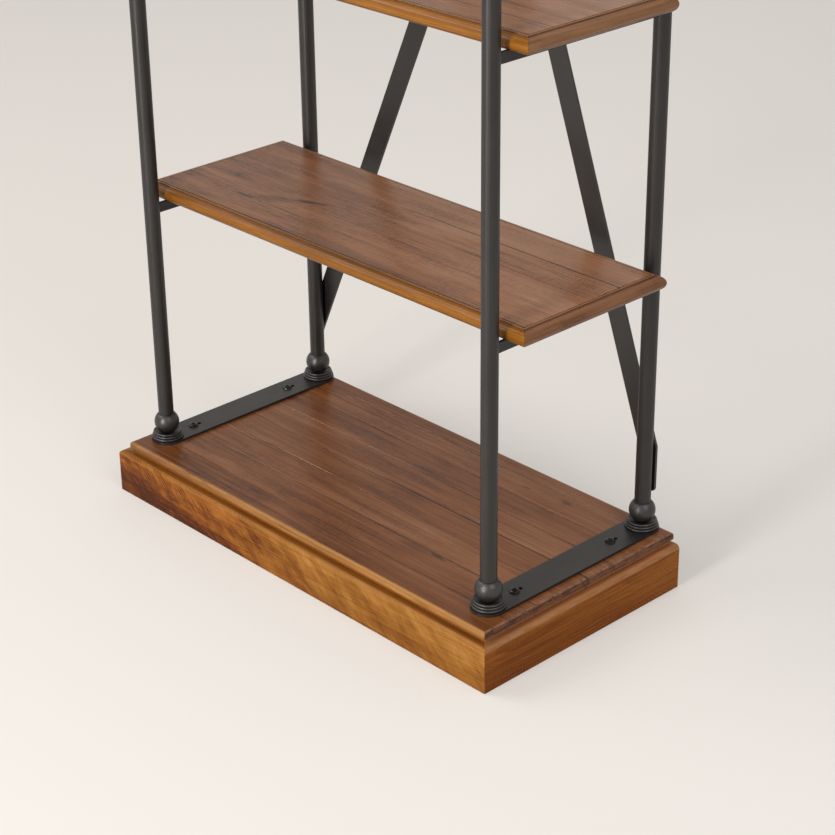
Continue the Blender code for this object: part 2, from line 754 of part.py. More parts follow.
def build_braces(parent):
    left = brace_plate(-1, LEFT_BRACE_LOW, LEFT_BRACE_HIGH)
    right = brace_plate(1, RIGHT_BRACE_LOW, RIGHT_BRACE_HIGH)
    bend_over_crossing(right, RIGHT_BRACE_LOW, RIGHT_BRACE_HIGH)
    crossing_x, crossing_z = brace_crossing()
    for side_name, bm in (("left", left), ("right", right)):
        name = "brace_" + side_name
        plate = finish(name, bm, (0, 0, 0), parent, steel(name + "_steel"))
        holes = [brace_hole("cut_crossing", crossing_x, crossing_z, RIVET_RADIUS, parent)]
        for bolt, (x, z) in brace_bolt_places().items():
            if side_name in bolt:
                holes.append(brace_hole("cut_" + bolt, x, z, BRACE_BOLT_RADIUS, parent))
        cut(plate, holes)


def build_brace_bolts(parent):
    """Dome-head bolts from behind, through the brace and the post's rear wall."""
    dome = quarter((BRACE_BOLT_HEAD_RADIUS, 0), (0, BRACE_BOLT_HEAD_HEIGHT), False, EDGE_STEPS)
    shank = -BRACE_THICKNESS - POST_WALL - BRACE_BOLT_REACH
    profile = [(0, shank), (BRACE_BOLT_RADIUS, shank), (BRACE_BOLT_RADIUS, 0), *dome]
    seat_y = BRACE_FRONT_Y + BRACE_THICKNESS + FIT_GAP
    for name, (x, z) in brace_bolt_places().items():
        bm = bmesh.new()
        spin(bm, profile, BOLT_FACETS, False)
        lie_along_y(bm)
        finish(name, bm, (x, seat_y, z), parent, steel(name + "_steel"))


def build_crossing_rivet(parent):
    """Round-head rivet through both braces."""
    x, z = brace_crossing()
    thickness = BRACE_OFFSET + BRACE_THICKNESS + FIT_GAP
    upper = quarter((RIVET_HEAD_RADIUS, thickness), (0, thickness + RIVET_HEAD_HEIGHT), False, EDGE_STEPS)
    lower = quarter((RIVET_HEAD_RADIUS, -FIT_GAP), (0, -FIT_GAP - RIVET_HEAD_HEIGHT), False, EDGE_STEPS)
    profile = lower[::-1] + [(RIVET_RADIUS, -FIT_GAP), (RIVET_RADIUS, thickness)] + upper
    bm = bmesh.new()
    spin(bm, profile, BOLT_FACETS, False)
    lie_along_y(bm)
    name = "brace_crossing_rivet"
    finish(name, bm, (x, BRACE_FRONT_Y, z), parent, steel(name + "_steel"))


def main():
    clear_scene()
    unit = make_empty("shelving_unit", (0, 0, 0))
    build_plinth(unit)
    build_base_top(unit)
    build_floor_bars(unit)
    build_floor_screws(unit)
    for name, place in post_places().items():
        build_foot(name, place, unit)
        build_post(name, place, unit)
        build_finial(name, place, unit)
    build_shelves(unit)
    build_braces(unit)
    build_brace_bolts(unit)
    build_crossing_rivet(unit)


main()
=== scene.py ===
"""Shelving unit of oiled hardwood and powder-coated steel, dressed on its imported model.

Metres, +Z up, front towards -Y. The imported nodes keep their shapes; this script gives them
their surfaces, turns the feet and finials in finer steps, eases the flat bars' edges, and sets
the floor, the light and the camera.
"""
import math
from functools import reduce

import bmesh
import bpy
from mathutils import Matrix, Vector


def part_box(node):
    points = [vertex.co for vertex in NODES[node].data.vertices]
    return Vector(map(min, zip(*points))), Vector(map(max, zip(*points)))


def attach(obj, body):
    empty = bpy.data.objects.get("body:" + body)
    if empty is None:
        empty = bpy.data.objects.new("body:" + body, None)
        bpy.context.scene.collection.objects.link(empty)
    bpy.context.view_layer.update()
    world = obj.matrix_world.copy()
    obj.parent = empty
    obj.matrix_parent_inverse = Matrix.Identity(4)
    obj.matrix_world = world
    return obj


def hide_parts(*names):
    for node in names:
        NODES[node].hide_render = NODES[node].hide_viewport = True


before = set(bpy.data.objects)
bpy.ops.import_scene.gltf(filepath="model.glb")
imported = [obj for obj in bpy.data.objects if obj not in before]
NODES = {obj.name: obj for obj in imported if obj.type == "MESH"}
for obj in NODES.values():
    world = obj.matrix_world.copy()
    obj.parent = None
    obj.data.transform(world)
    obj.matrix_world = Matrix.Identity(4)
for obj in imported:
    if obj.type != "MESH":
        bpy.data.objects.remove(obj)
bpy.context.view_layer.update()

SHELF_PANELS = sorted(name for name in NODES if name.endswith("_panel"))

# Camera of the photograph
FOCAL_LENGTH = 92.11
SENSOR_WIDTH = 36.0
CAMERA_AZIMUTH = math.radians(46.773)
CAMERA_ELEVATION = math.radians(26.573)
CAMERA_ROLL = math.radians(-0.671)
CAMERA_PLACE = Vector((2.0627, -1.8746, 1.5911))
FARTHEST_SEEN = 100.0

# Wood colours, scene-linear: light, middle, dark and darkest.
# Each board's top, front and end have their own tones: partly the wood's own colour and grain,
# partly painted light, with the fronts painted lighter and the tops and ends darker as the light
# falls, and a painted sheen in the tops' light tones.
BASE_TOP = (
    (0.244, 0.104, 0.042), (0.164, 0.054, 0.014), (0.090, 0.026, 0.006), (0.020, 0.008, 0.005),
)
SHELF_TOP = (
    (0.322, 0.154, 0.082), (0.252, 0.103, 0.041), (0.147, 0.054, 0.021), (0.034, 0.014, 0.010),
)
GOLD = (
    (0.385, 0.180, 0.046), (0.238, 0.093, 0.013), (0.118, 0.033, 0.003), (0.038, 0.010, 0.002),
)
NOSE = (
    (0.400, 0.185, 0.048), (0.245, 0.096, 0.014), (0.120, 0.039, 0.004), (0.045, 0.014, 0.003),
)
NOSE_END = (
    (0.130, 0.044, 0.014), (0.056, 0.015, 0.004), (0.026, 0.007, 0.003), (0.012, 0.004, 0.002),
)
SHELF_GOLD = (
    (0.316, 0.134, 0.028), (0.208, 0.076, 0.006), (0.122, 0.037, 0.002), (0.042, 0.013, 0.001),
)
RED_BROWN = (
    (0.345, 0.128, 0.022), (0.210, 0.058, 0.004), (0.104, 0.023, 0.002), (0.030, 0.007, 0.001),
)
# Top ledge of the front plinth: darker, partly the wood and partly a painted shade under the base
# top's nose
SHOULDER = (
    (0.300, 0.125, 0.022), (0.190, 0.065, 0.009), (0.110, 0.034, 0.005), (0.045, 0.014, 0.004),
)
# Top ledge of the side plinths: its paler, pinker tones hold a painted reflection of a pale
# surround
LEDGE_SIDE = (
    (0.400, 0.185, 0.085), (0.290, 0.120, 0.045), (0.180, 0.065, 0.020), (0.060, 0.020, 0.006),
)
SHELF_END = (
    (0.270, 0.125, 0.060), (0.190, 0.080, 0.034), (0.105, 0.040, 0.017), (0.040, 0.017, 0.010),
)
SHELF_END_TAN = (
    (0.300, 0.152, 0.072), (0.212, 0.098, 0.042), (0.115, 0.046, 0.018), (0.045, 0.018, 0.008),
)
# Colour of knots and dark seams, also used for the painted shade in grooves, quirks and on faces
# that look down
KNOT_AND_SHADE_COLOUR = (0.022, 0.011, 0.009)
# Painted highlight on the arris beside each seam of the tops
SEAM_ARRIS_HIGHLIGHT = (0.320, 0.165, 0.095)
# Painted highlights along rounded upper edges: front, side and end
FRONT_EDGE_HIGHLIGHT = (0.265, 0.125, 0.034)
SIDE_EDGE_HIGHLIGHT = (0.340, 0.175, 0.085)
NOSE_END_EDGE_HIGHLIGHT = (0.230, 0.120, 0.072)
# Painted highlight on the shelves' bead
BEAD_HIGHLIGHT = (0.300, 0.140, 0.050)
# Set-back face under the base top's nose: painted shade on the front, painted light on the ends
NOSE_RECESS_SHADE = (0.190, 0.062, 0.011)
NOSE_END_RECESS_LIGHT = (0.330, 0.125, 0.046)

# Metal colours, scene-linear
COAT_COLOUR = (0.0124, 0.0106, 0.0102)
COAT_WORN = (0.040, 0.036, 0.034)
SCREW_COLOUR = (0.006, 0.0055, 0.0055)

# Dull and bright parts of a metal's colour, as shares of it
COAT_SHADES = (0.62, 1.42)

# Tint of the slanting strokes, which multiplies the front's colour
HATCH_TINT = (1.0, 0.78, 0.48)

# Noises: scale per metre, or scales along the grain, across it and in depth; detail; roughness
NOISE = {
    "seam sway": ((6.0, 60.0, 1.0), 2.0, 0.5),
    "seam fray": ((11.0, 26.0, 26.0), 3.0, 0.6),
    "arris gaps": ((8.0, 60.0, 30.0), 2.0, 0.6),
    "slow bend": ((1.9, 6.0, 6.0), 2.0, 0.5),
    "bend": ((7.0, 26.0, 26.0), 3.0, 0.6),
    "fine bend": ((30.0, 140.0, 140.0), 2.0, 0.5),
    "knot edge x": ((90.0, 90.0, 20.0), 3.0, 0.65),
    "knot edge y": ((70.0, 120.0, 25.0), 3.0, 0.65),
    "ring strength": ((4.0, 34.0, 34.0), 3.0, 0.5),
    "fibre": ((12.0, 430.0, 430.0), 4.0, 0.66),
    "band": ((2.6, 70.0, 70.0), 3.0, 0.55),
    "line": ((3.2, 240.0, 240.0), 4.0, 0.60),
    "stain": ((3.0, 13.0, 13.0), 4.0, 0.60),
    "dash": ((26.0, 560.0, 560.0), 2.0, 0.6),
    "dash patches": ((5.0, 40.0, 40.0), 2.0, 0.5),
    "pores": ((140.0, 1300.0, 1300.0), 2.0, 0.6),
    "saw patches": ((5.0, 12.0, 34.0), 3.0, 0.6),
    "chatter drift": ((6.0, 20.0, 20.0), 1.0, 0.5),
    "chatter patches": ((6.5, 42.0, 42.0), 3.0, 0.6),
    "stroke breaks": ((150.0, 120.0, 120.0), 2.0, 0.6),
    "hatch wander": ((16.0, 16.0, 34.0), 2.0, 0.5),
    "hatch breaks": ((46.0, 190.0, 1.0), 3.0, 0.60),
    "hatch zone": ((13.0, 13.0, 34.0), 3.0, 0.5),
    "cloud": ((16.0, 60.0, 1.0), 5.0, 0.66),
    "heart edge": ((34.0, 34.0, 70.0), 4.0, 0.62),
    "end pores": ((620.0, 160.0, 30.0), 3.0, 0.65),
    "torn grain": ((1.0, 46.0, 420.0), 4.0, 0.68),
    "rubbed patches": ((24.0, 140.0, 140.0), 4.0, 0.64),
    "coat cloud": (16.0, 4.0, 0.6),
    "coat peel": (900.0, 2.0, 0.5),
    "coat grit": (2600.0, 2.0, 0.6),
    "coat speckle": (1500.0, 3.0, 0.6),
    "coat specks": (420.0, 3.0, 0.7),
    "coat speck patches": (22.0, 2.0, 0.5),
}

# Where a noise turns into a mask: none below, all above, and the mask's least and most if not 0, 1
MASK = {
    "seam fray": (0.44, 0.66),
    "arris gaps": (0.34, 0.52),
    "ring strength": (0.36, 0.70, 0.10, 1.0),
    "dash": (0.63, 0.76),
    "dash patches": (0.42, 0.66),
    "pores": (0.60, 0.74),
    "saw patches": (0.42, 0.66),
    "chatter patches": (0.42, 0.58),
    "stroke breaks": (0.35, 0.65, 0.35, 1.0),
    "hatch breaks": (0.38, 0.58),
    "hatch zone": (0.36, 0.56),
    "coat specks": (0.70, 0.78),
    "coat speck patches": (0.5, 0.7),
}
# Where the painted edge highlight shows, in patches
EDGE_HIGHLIGHT_MASK = (0.34, 0.60)
EDGE_HIGHLIGHT_LEAST = 0.30

# How much each mark darkens the wood, on the scale of the tones: 0 lightest, 1 darkest
MIDDLE_SHADE = 0.37
PLANK_WEIGHT = 0.55
STAIN_WEIGHT = 0.62
BAND_WEIGHT = 0.50
LINE_WEIGHT = 0.72
RING_WEIGHT = 0.30
FIBRE_WEIGHT = 0.46
DASH_WEIGHT = 0.24
PORE_WEIGHT = 0.10
CHATTER_WEIGHT = 0.56
SAW_TOP_WEIGHT = 0.10
SAW_FACE_WEIGHT = 0.30
HATCH_WEIGHT = 0.66
HATCH_SIDE_WEIGHT = 0.06
CLOUD_WEIGHT = 0.85
HEART_WEIGHT = 0.24
TORN_WEIGHT = 1.9
END_PORE_WEIGHT = {"x": 0.9, "y": 0.3}
TONE_PLACES = (0.08, 0.40, 0.70, 0.98)

# Planks and the seams between them; a width is (none from here out, all from here in)
EDGE_SLACK = 0.001
PLANK_STEPS = {"depth": 37.0, "across": 0.9, "pith": 0.4, "ring": 3.1}
SEAM_SWAY = 0.30
SEAM_CHANGE = (-0.08, 0.06)
SEAM_WIDTH = (0.0012, 0.0006)
SEAM_STAIN_WIDTH = (0.0040, 0.0006)
SEAM_STAIN_SHARE = 0.7
ARRIS_OFFSET = 0.0011
ARRIS_WIDTH = (0.0011, 0.0004)

# Growth rings and knots
SLOW_BEND = 0.050
BEND = 0.012
FINE_BEND = 0.0016
PITH_SPACING = 0.040
PITH_DEPTH = 0.014
PITH_SLANT = -0.7
RING_WIDTH = 0.0046
RING_SHARPNESS = 2.4
RING_END = (1.0, 0.88)
KNOT_THICKNESS = 0.02
KNOT_HALO = 2.4
KNOT_PUSH = 0.008
KNOT_SOFTNESS = 0.2
KNOT_RAGGED = (0.012, 0.008)

# Saw marks
SAW_PITCH = 0.0052
CHATTER_PITCH = 0.0050
CHATTER_DRIFT = 0.024
CHATTER_SHARPNESS = 2.2
CHATTER_LEAST = 0.15
HATCH_PITCH = 0.0046
HATCH_SHARPNESS = 1.4
HATCH_ALONG = (0.755, -0.656)
HATCH_ACROSS = (0.656, 0.755)
HATCH_WANDER = 0.007
HATCH_LEAST = 0.16
HATCH_TINT_SHARE = 0.9
HEART_RAGGED = 0.030
HEART_SOFT = (-0.004, 0.008)
HEART_FADE = (0.05, -0.10)
END_PORE_SLANT = 0.8

# Edges and mouldings
RIM_SOFT = 0.0006
FLAT_NORMAL = (0.70, 0.92)
UNDER_NORMAL = (-0.80, -0.92)
CORNER_SOFT = (-0.1, 0.1)
# How the painted edge highlight fades down from the top edge
EDGE_HIGHLIGHT_FADE = (1.0, 0.7)
RECESS_SOFT = (0.0006, -0.0004)
RECESS_NORMAL = (-0.90, -0.70)
# Painted highlight on the bead beside the groove
BEAD_INSET = 0.0022
BEAD_WIDTH = (0.0014, 0.0009)
BEAD_SHARE = 0.6
GROOVE_WIDTH = (0.0012, 0.0006)
# Painted shade in the worked groove
GROOVE_SHADE = 0.85
QUIRK_INSET = 0.0042
QUIRK_WIDTH = (0.0018, 0.0006)
# Painted shade in the quirk under the bead
QUIRK_SHADE = 0.46
# Painted shade on faces that look down
UNDERSIDE_NORMAL = (-0.35, -0.80)
UNDERSIDE_SHADE = 0.35

# Sheen and relief of the wood
WOOD_IOR = 1.48
WOOD_ROUGHNESS = (0.25, 0.40)
WORN_RING_SHARE = 0.6
WORN_STAIN_SHARE = 0.8
WORN_RANGE = (-0.25, 0.55)
RELIEF_FIBRE = 0.8
RELIEF_STROKE = -0.25
RELIEF_RING = -0.30
RELIEF_PORE = -0.40
RELIEF_STRENGTH = 0.30
RELIEF_DEPTH = 0.0004

# Turned feet and finials
POST_RADIUS = 0.0117
POST_GAP = 0.0003
RIM_EASE = 0.0007
FLANGE_RINGS = 3
FLANGE_STEP = 0.0013
DISH_FLOOR = 0.0062
RING_TURN = 0.22
SET_SCREW_RADIUS = 0.0012
SET_SCREW_DEPTH = 0.0015
SET_SCREW_TURN = math.radians(28)
SHARP_ANGLE = math.radians(32)
BALL_STEPS = 30
RING_STEPS = 12
DISH_STEPS = 14
BALL_FACETS = 72
FLANGE_FACETS = 96
DRILL_FACETS = 28
BAR_EASE = 0.0004
BAR_EASE_STEPS = 2
BAR_EASE_ANGLE = math.radians(40)

# Sheen of the metal
COAT_ROUGHNESS = (0.35, 0.45)
TURNED_ROUGHNESS = (0.33, 0.43)
SCREW_ROUGHNESS = (0.16, 0.24)
COAT_GLOSS = 0.48
TURNED_GLOSS = 0.64
# The right brace gets a higher specular level than the left, a brighter copy of the same coat that
# stands in for the light falling on it
RIGHT_BRACE_GLOSS = 0.66
SCREW_GLOSS = 0.32
SPECKLE_WEIGHT = 2.2
SPECK_SHARE = 0.7
GRIT_SHEEN = 0.4
GRIT_RANGE = (0.5, 0.9)
GRIT_RELIEF = 0.35
PEBBLE_STRENGTH = 0.22
PEBBLE_DEPTH = 0.0004

# How a piece's seed moves its noise, and how far apart the seeds of two pieces lie
SEED_PLACE = (1.0, 0.7, 1.3)
SEED_STEP = 0.37
LETTER_STEP = 0.01

# Floor, backdrop and lamps; a lamp is name, place, target, size, watts, colour and spread
FLOOR_REACH = 30.0
FLOOR_DROP = 0.0005
FLOOR_COLOUR = (0.56, 0.54, 0.51)
FLOOR_ROUGHNESS = 0.8
FLOOR_GLOSS = 0.2
FLOOR_GLOW = (0.23, 0.22, 0.21)
FAR_FLOOR_GLOW = (0.405, 0.395, 0.38)
FLOOR_FADE = (4.0, 15.0)
BACKDROP = (0.72, 0.69, 0.65)
SKY = (1.0, 0.97, 0.94)
SKY_STRENGTH = 0.55
LAMPS = (
    ("key", (0.45, -3.5, 1.40), (0.0, 0.0, 0.9), (0.7, 2.7), 47.0, (1.0, 0.98, 0.96), 105.0),
    ("side", (-2.6, -1.9, 3.3), (0.0, 0.0, 0.6), (2.4, 2.4), 62.0, (1.0, 0.97, 0.93), 180.0),
    ("fill", (3.6, -0.6, 3.0), (0.0, 0.0, 0.6), (2.4, 2.4), 60.0, (0.97, 0.98, 1.0), 180.0),
)


class Surface:
    """One procedural material, built node by node on the object's own coordinates."""

    def __init__(self, name):
        self.material = bpy.data.materials.new(name)
        self.material.use_nodes = True
        self.tree = self.material.node_tree
        self.shader = self.tree.nodes["Principled BSDF"]
        texture = self.add("ShaderNodeTexCoord")
        self.place = texture.outputs["Object"]
        self.facing = texture.outputs["Normal"]

    def add(self, kind, **settings):
        node = self.tree.nodes.new(kind)
        for key, value in settings.items():
            setattr(node, key, value)
        return node

    def feed(self, socket, value):
        """Link an output to a socket, or set a plain value on it."""
        if isinstance(value, bpy.types.NodeSocket):
            self.tree.links.new(value, socket)
        elif isinstance(value, tuple) and socket.type == "RGBA":
            socket.default_value = (*value, 1.0)
        else:
            socket.default_value = value

    def math(self, operation, *values, clamp=False):
        node = self.add("ShaderNodeMath", operation=operation, use_clamp=clamp)
        for socket, value in zip(node.inputs, values):
            self.feed(socket, value)
        return node.outputs[0]

    def vector(self, operation, *values):
        node = self.add("ShaderNodeVectorMath", operation=operation)
        for socket, value in zip(node.inputs, values):
            self.feed(socket, value)
        return node.outputs["Value" if operation == "LENGTH" else "Vector"]

    def split(self, vector):
        node = self.add("ShaderNodeSeparateXYZ")
        self.feed(node.inputs[0], vector)
        return node.outputs[:]

    def join(self, *values):
        node = self.add("ShaderNodeCombineXYZ")
        for socket, value in zip(node.inputs, values):
            self.feed(socket, value)
        return node.outputs[0]

    def figure(self, name, vector):
        """A named noise about 0.5."""
        scale, detail, roughness = NOISE[name]
        if isinstance(scale, tuple):
            vector = self.vector("MULTIPLY", vector, scale)
            scale = 1.0
        node = self.add("ShaderNodeTexNoise")
        self.feed(node.inputs["Vector"], vector)
        self.feed(node.inputs["Scale"], scale)
        self.feed(node.inputs["Detail"], detail)
        self.feed(node.inputs["Roughness"], roughness)
        return node.outputs["Fac"]

    def waver(self, name, vector):
        """A named noise about zero."""
        return self.math("SUBTRACT", self.figure(name, vector), 0.5)

    def patches(self, name, vector):
        """A named noise cut to a mask."""
        return self.span(self.figure(name, vector), *MASK[name])

    def span(self, value, low, high, to_low=0.0, to_high=1.0, smooth=True):
        """From to_low at low to to_high at high, and level beyond them."""
        shape = "SMOOTHSTEP" if smooth else "LINEAR"
        node = self.add("ShaderNodeMapRange", interpolation_type=shape)
        for socket, part in zip(node.inputs, (value, low, high, to_low, to_high)):
            self.feed(socket, part)
        return node.outputs[0]

    def product(self, *values):
        return reduce(lambda a, b: self.math("MULTIPLY", a, b), values)

    def greatest(self, *values):
        return reduce(lambda a, b: self.math("MAXIMUM", a, b), values)

    def least(self, *values):
        return reduce(lambda a, b: self.math("MINIMUM", a, b), values)

    def added(self, value, weight, total):
        """The total with a weighted value on top."""
        return self.math("MULTIPLY_ADD", value, weight, total)

    def mix(self, factor, first, second, blend="MIX"):
        node = self.add("ShaderNodeMix", data_type="RGBA", blend_type=blend)
        self.feed(node.inputs[0], factor)
        self.feed(node.inputs[6], first)
        self.feed(node.inputs[7], second)
        return node.outputs[2]

    def steps(self, value, low, high, stops):
        """Constant tones: stops are (place, tone), and each tone is kept up to the next place."""
        ramp = self.add("ShaderNodeValToRGB")
        ramp.color_ramp.interpolation = "CONSTANT"
        elements = ramp.color_ramp.elements
        while len(elements) < len(stops):
            elements.new(0.5)
        for element, (place, tone) in zip(elements, sorted(stops)):
            element.position = (place - low) / (high - low)
            element.color = (tone, tone, tone, 1.0)
        self.feed(ramp.inputs[0], self.span(value, low, high, smooth=False))
        return ramp.outputs[0]

    def tint(self, value, colours):
        """Colour from light to darkest as the value rises."""
        ramp = self.add("ShaderNodeValToRGB")
        elements = ramp.color_ramp.elements
        while len(elements) < len(colours):
            elements.new(0.5)
        for element, place, colour in zip(elements, TONE_PLACES, colours):
            element.position = place
            element.color = (*colour, 1.0)
        self.feed(ramp.inputs[0], value)
        return ramp.outputs[0]

    def bump(self, height, strength, distance):
        """Fine relief of the surface."""
        node = self.add("ShaderNodeBump")
        node.inputs["Strength"].default_value = strength
        node.inputs["Distance"].default_value = distance
        self.feed(node.inputs["Height"], height)
        self.tree.links.new(node.outputs[0], self.shader.inputs["Normal"])


class Board(Surface):
    """Material of one wooden piece: where a point lies on it, and the marks that it can carry."""

    def __init__(self, name, along, seed, box):
        super().__init__(name)
        self.along, self.seed = along, seed
        self.low, self.high = box
        self.middle = (self.low + self.high) / 2
        self.x, self.y, self.z = self.split(self.place)
        self.normal = self.split(self.facing)
        # u runs along the grain, v across it
        self.u, self.v = (self.x, self.y) if along == "x" else (self.y, self.x)
        self.u_axis, self.v_axis = (0, 1) if along == "x" else (1, 0)
        self.inset_x, self.inset_y = (
            self.least(
                self.math("SUBTRACT", part, self.low[axis]),
                self.math("SUBTRACT", self.high[axis], part),
            )
            for axis, part in enumerate((self.x, self.y))
        )

    def near(self, place, centre, reach, softness, turn):
        """1 at a centre, falling to 0 at the reach along each axis, turned about Z if asked."""
        offset = self.vector("SUBTRACT", place, centre)
        if turn:
            spin = self.add("ShaderNodeVectorRotate", rotation_type="Z_AXIS")
            self.feed(spin.inputs["Vector"], offset)
            spin.inputs["Angle"].default_value = -turn
            offset = spin.outputs[0]
        stretched = self.vector("DIVIDE", offset, reach)
        return self.span(self.vector("LENGTH", stretched), 1.0, softness)

    def tones_across(self, places, tones):
        """Constant tones across the grain, each kept up to the next place."""
        low = self.low[self.v_axis] - EDGE_SLACK
        high = self.high[self.v_axis] + EDGE_SLACK
        return self.steps(self.v, low, high, list(zip(places, tones)))

    def seams(self, joints, planks):
        """Each plank's tone, the dark seams between planks and the painted highlight on the arris
        along each seam.
        """
        start = self.low[self.v_axis]
        places, *columns = zip(*joints)
        plank = self.tones_across((start, *places), planks)
        beyond = [self.math("SUBTRACT", self.v, place) for place in places]
        gap = self.least(*(self.math("ABSOLUTE", part) for part in beyond))
        past = self.least(
            *(self.math("ABSOLUTE", self.math("SUBTRACT", part, ARRIS_OFFSET)) for part in beyond)
        )
        rightward = self.added(self.waver("seam sway", self.place), SEAM_SWAY, self.u)
        rightward = self.span(rightward, *SEAM_CHANGE)
        middles = [start] + [(a + b) / 2 for a, b in zip(places, places[1:])]
        dark_left, dark_right, highlight_left, highlight_right = (
            self.tones_across(middles, column) for column in columns
        )
        depth = self.span(rightward, 0.0, 1.0, dark_left, dark_right, smooth=False)
        highlight_share = self.span(rightward, 0.0, 1.0, highlight_left, highlight_right, smooth=False)
        fray = self.patches("seam fray", self.place)
        stain = self.product(self.span(gap, *SEAM_STAIN_WIDTH), fray, SEAM_STAIN_SHARE)
        seam = self.product(self.greatest(self.span(gap, *SEAM_WIDTH), stain), depth)
        broken = self.patches("arris gaps", self.place)
        return plank, seam, self.product(self.span(past, *ARRIS_WIDTH), highlight_share, broken)

    def rings(self, grain, plank, knots, figure):
        """Late wood of the growth rings about the pith, and the dark marks of the knots."""
        bend = self.product(self.waver("slow bend", grain), SLOW_BEND * figure)
        bend = self.added(self.waver("bend", grain), BEND * figure, bend)
        bend = self.added(self.waver("fine bend", grain), FINE_BEND, bend)
        marks = []
        if knots:
            ragged = (
                self.product(self.waver("knot edge " + axis, self.place), size)
                for axis, size in zip("xy", KNOT_RAGGED)
            )
            rough = self.vector("ADD", self.place, self.join(*ragged, 0.0))
        for centre, reach, slant, darkness in knots:
            halo = tuple(KNOT_HALO * part for part in reach)
            bend = self.added(self.near(self.place, centre, halo, 0.0, slant), KNOT_PUSH, bend)
            core = self.near(rough, centre, reach, KNOT_SOFTNESS, slant)
            marks.append(self.product(core, darkness))
        across = self.math("PINGPONG", self.added(plank, PLANK_STEPS["pith"], self.v), PITH_SPACING)
        side = self.math("ADD", across, bend)
        below = self.math("SUBTRACT", self.z, self.high.z - PITH_DEPTH)
        deep = self.math("ADD", below, self.product(bend, PITH_SLANT))
        radius = self.vector("LENGTH", self.join(0.0, side, deep))
        count = self.math("DIVIDE", radius, RING_WIDTH)
        turn = self.math("FRACT", self.added(plank, PLANK_STEPS["ring"], count))
        late = self.product(self.math("POWER", turn, RING_SHARPNESS), self.span(turn, *RING_END))
        return self.product(late, self.patches("ring strength", grain)), marks

    def wave(self, phase, pitch, sharpness):
        """Regular strokes from 0 to 1."""
        wave = self.math("SINE", self.product(phase, math.tau / pitch))
        return self.math("POWER", self.added(wave, 0.5, 0.5), sharpness)

    def saw_strokes(self, grain, saw, chatter_fade):
        """Strokes in patches: round a saw's centre on a side face, or else across the grain."""
        if saw:
            centre_u, centre_z = saw
            beside = self.math("SUBTRACT", self.u, centre_u)
            above = self.math("SUBTRACT", self.z, centre_z)
            phase, pitch = self.vector("LENGTH", self.join(beside, above, 0.0)), SAW_PITCH
            patch = self.patches("saw patches", grain)
        else:
            phase = self.added(self.figure("chatter drift", grain), CHATTER_DRIFT, self.u)
            pitch = CHATTER_PITCH
            patch = self.patches("chatter patches", grain)
        if chatter_fade:
            patch = self.product(patch, self.span(self.u, *chatter_fade, CHATTER_LEAST, 1.0))
        stroke = self.wave(phase, pitch, CHATTER_SHARPNESS)
        return self.product(stroke, patch, self.patches("stroke breaks", grain))

    def hatching(self, shade, hatch):
        """A front's slanting strokes and clouds, and 1 on the side where the strokes are dense."""
        along, across = (
            self.added(self.u, part_u, self.product(self.z, part_z))
            for part_u, part_z in (HATCH_ALONG, HATCH_ACROSS)
        )
        across = self.added(self.waver("hatch wander", self.place), HATCH_WANDER, across)
        slanted = self.join(along, across, self.seed)
        strokes = self.wave(across, HATCH_PITCH, HATCH_SHARPNESS)
        strokes = self.product(strokes, self.patches("hatch breaks", slanted))
        sideward = self.span(self.u, hatch[1], hatch[0])
        zone = self.added(sideward, 1.0 - HATCH_LEAST, HATCH_LEAST)
        zone = self.product(self.patches("hatch zone", self.place), zone)
        shade = self.added(self.product(strokes, zone), HATCH_WEIGHT, shade)
        shade = self.added(sideward, HATCH_SIDE_WEIGHT, shade)
        return self.added(self.waver("cloud", slanted), CLOUD_WEIGHT, shade), sideward

    def heartwood(self, shade, heart):
        """A darker band low on a front, under an edge between two points."""
        (u0, z0), (u1, z1) = heart
        edge = self.span(self.u, u0, u1, z0, z1, smooth=False)
        edge = self.added(self.waver("heart edge", self.place), HEART_RAGGED, edge)
        below = self.span(self.math("SUBTRACT", edge, self.z), *HEART_SOFT)
        fade = self.span(self.u, *(u1 + part for part in HEART_FADE))
        return self.added(self.product(below, fade), HEART_WEIGHT, shade)

    def end_grain(self, shade, torn):
        """Pores cut across on an end, and streaks where the grain is torn."""
        slant = self.math("ADD", self.product(self.y, END_PORE_SLANT), self.z)
        rise = self.added(self.z, -END_PORE_SLANT, self.y)
        place = self.join(slant, rise, self.math("ADD", self.x, self.seed))
        pores = self.waver("end pores", place)
        shade = self.math("MULTIPLY_ADD", pores, END_PORE_WEIGHT[self.along], shade, clamp=True)
        if torn:
            streaks = self.waver("torn grain", self.place)
            shade = self.math("MULTIPLY_ADD", streaks, TORN_WEIGHT, shade, clamp=True)
        return shade

    def parts(self, rim, groove):
        """Masks of the flat top and underside, and of the ends against the front."""
        nx, ny, nz = self.normal
        if rim is None:
            flat = self.span(self.math("ABSOLUTE", nz), *FLAT_NORMAL)
        else:
            inset = self.inset_y if groove else self.least(self.inset_x, self.inset_y)
            flat = self.span(inset, rim - RIM_SOFT, rim + RIM_SOFT)
            flat = self.greatest(flat, self.span(nz, *UNDER_NORMAL))
        sideways = self.math("SUBTRACT", self.math("ABSOLUTE", nx), self.math("ABSOLUTE", ny))
        return flat, self.span(sideways, *CORNER_SOFT)

    def slope(self, shade, fall):
        """A slow change of tone along and up the board, from none at its middle."""
        middles = (self.middle[self.u_axis], self.middle.z)
        for part, middle, weight in zip((self.u, self.z), middles, fall):
            shade = self.added(self.math("SUBTRACT", part, middle), weight, shade)
        return shade

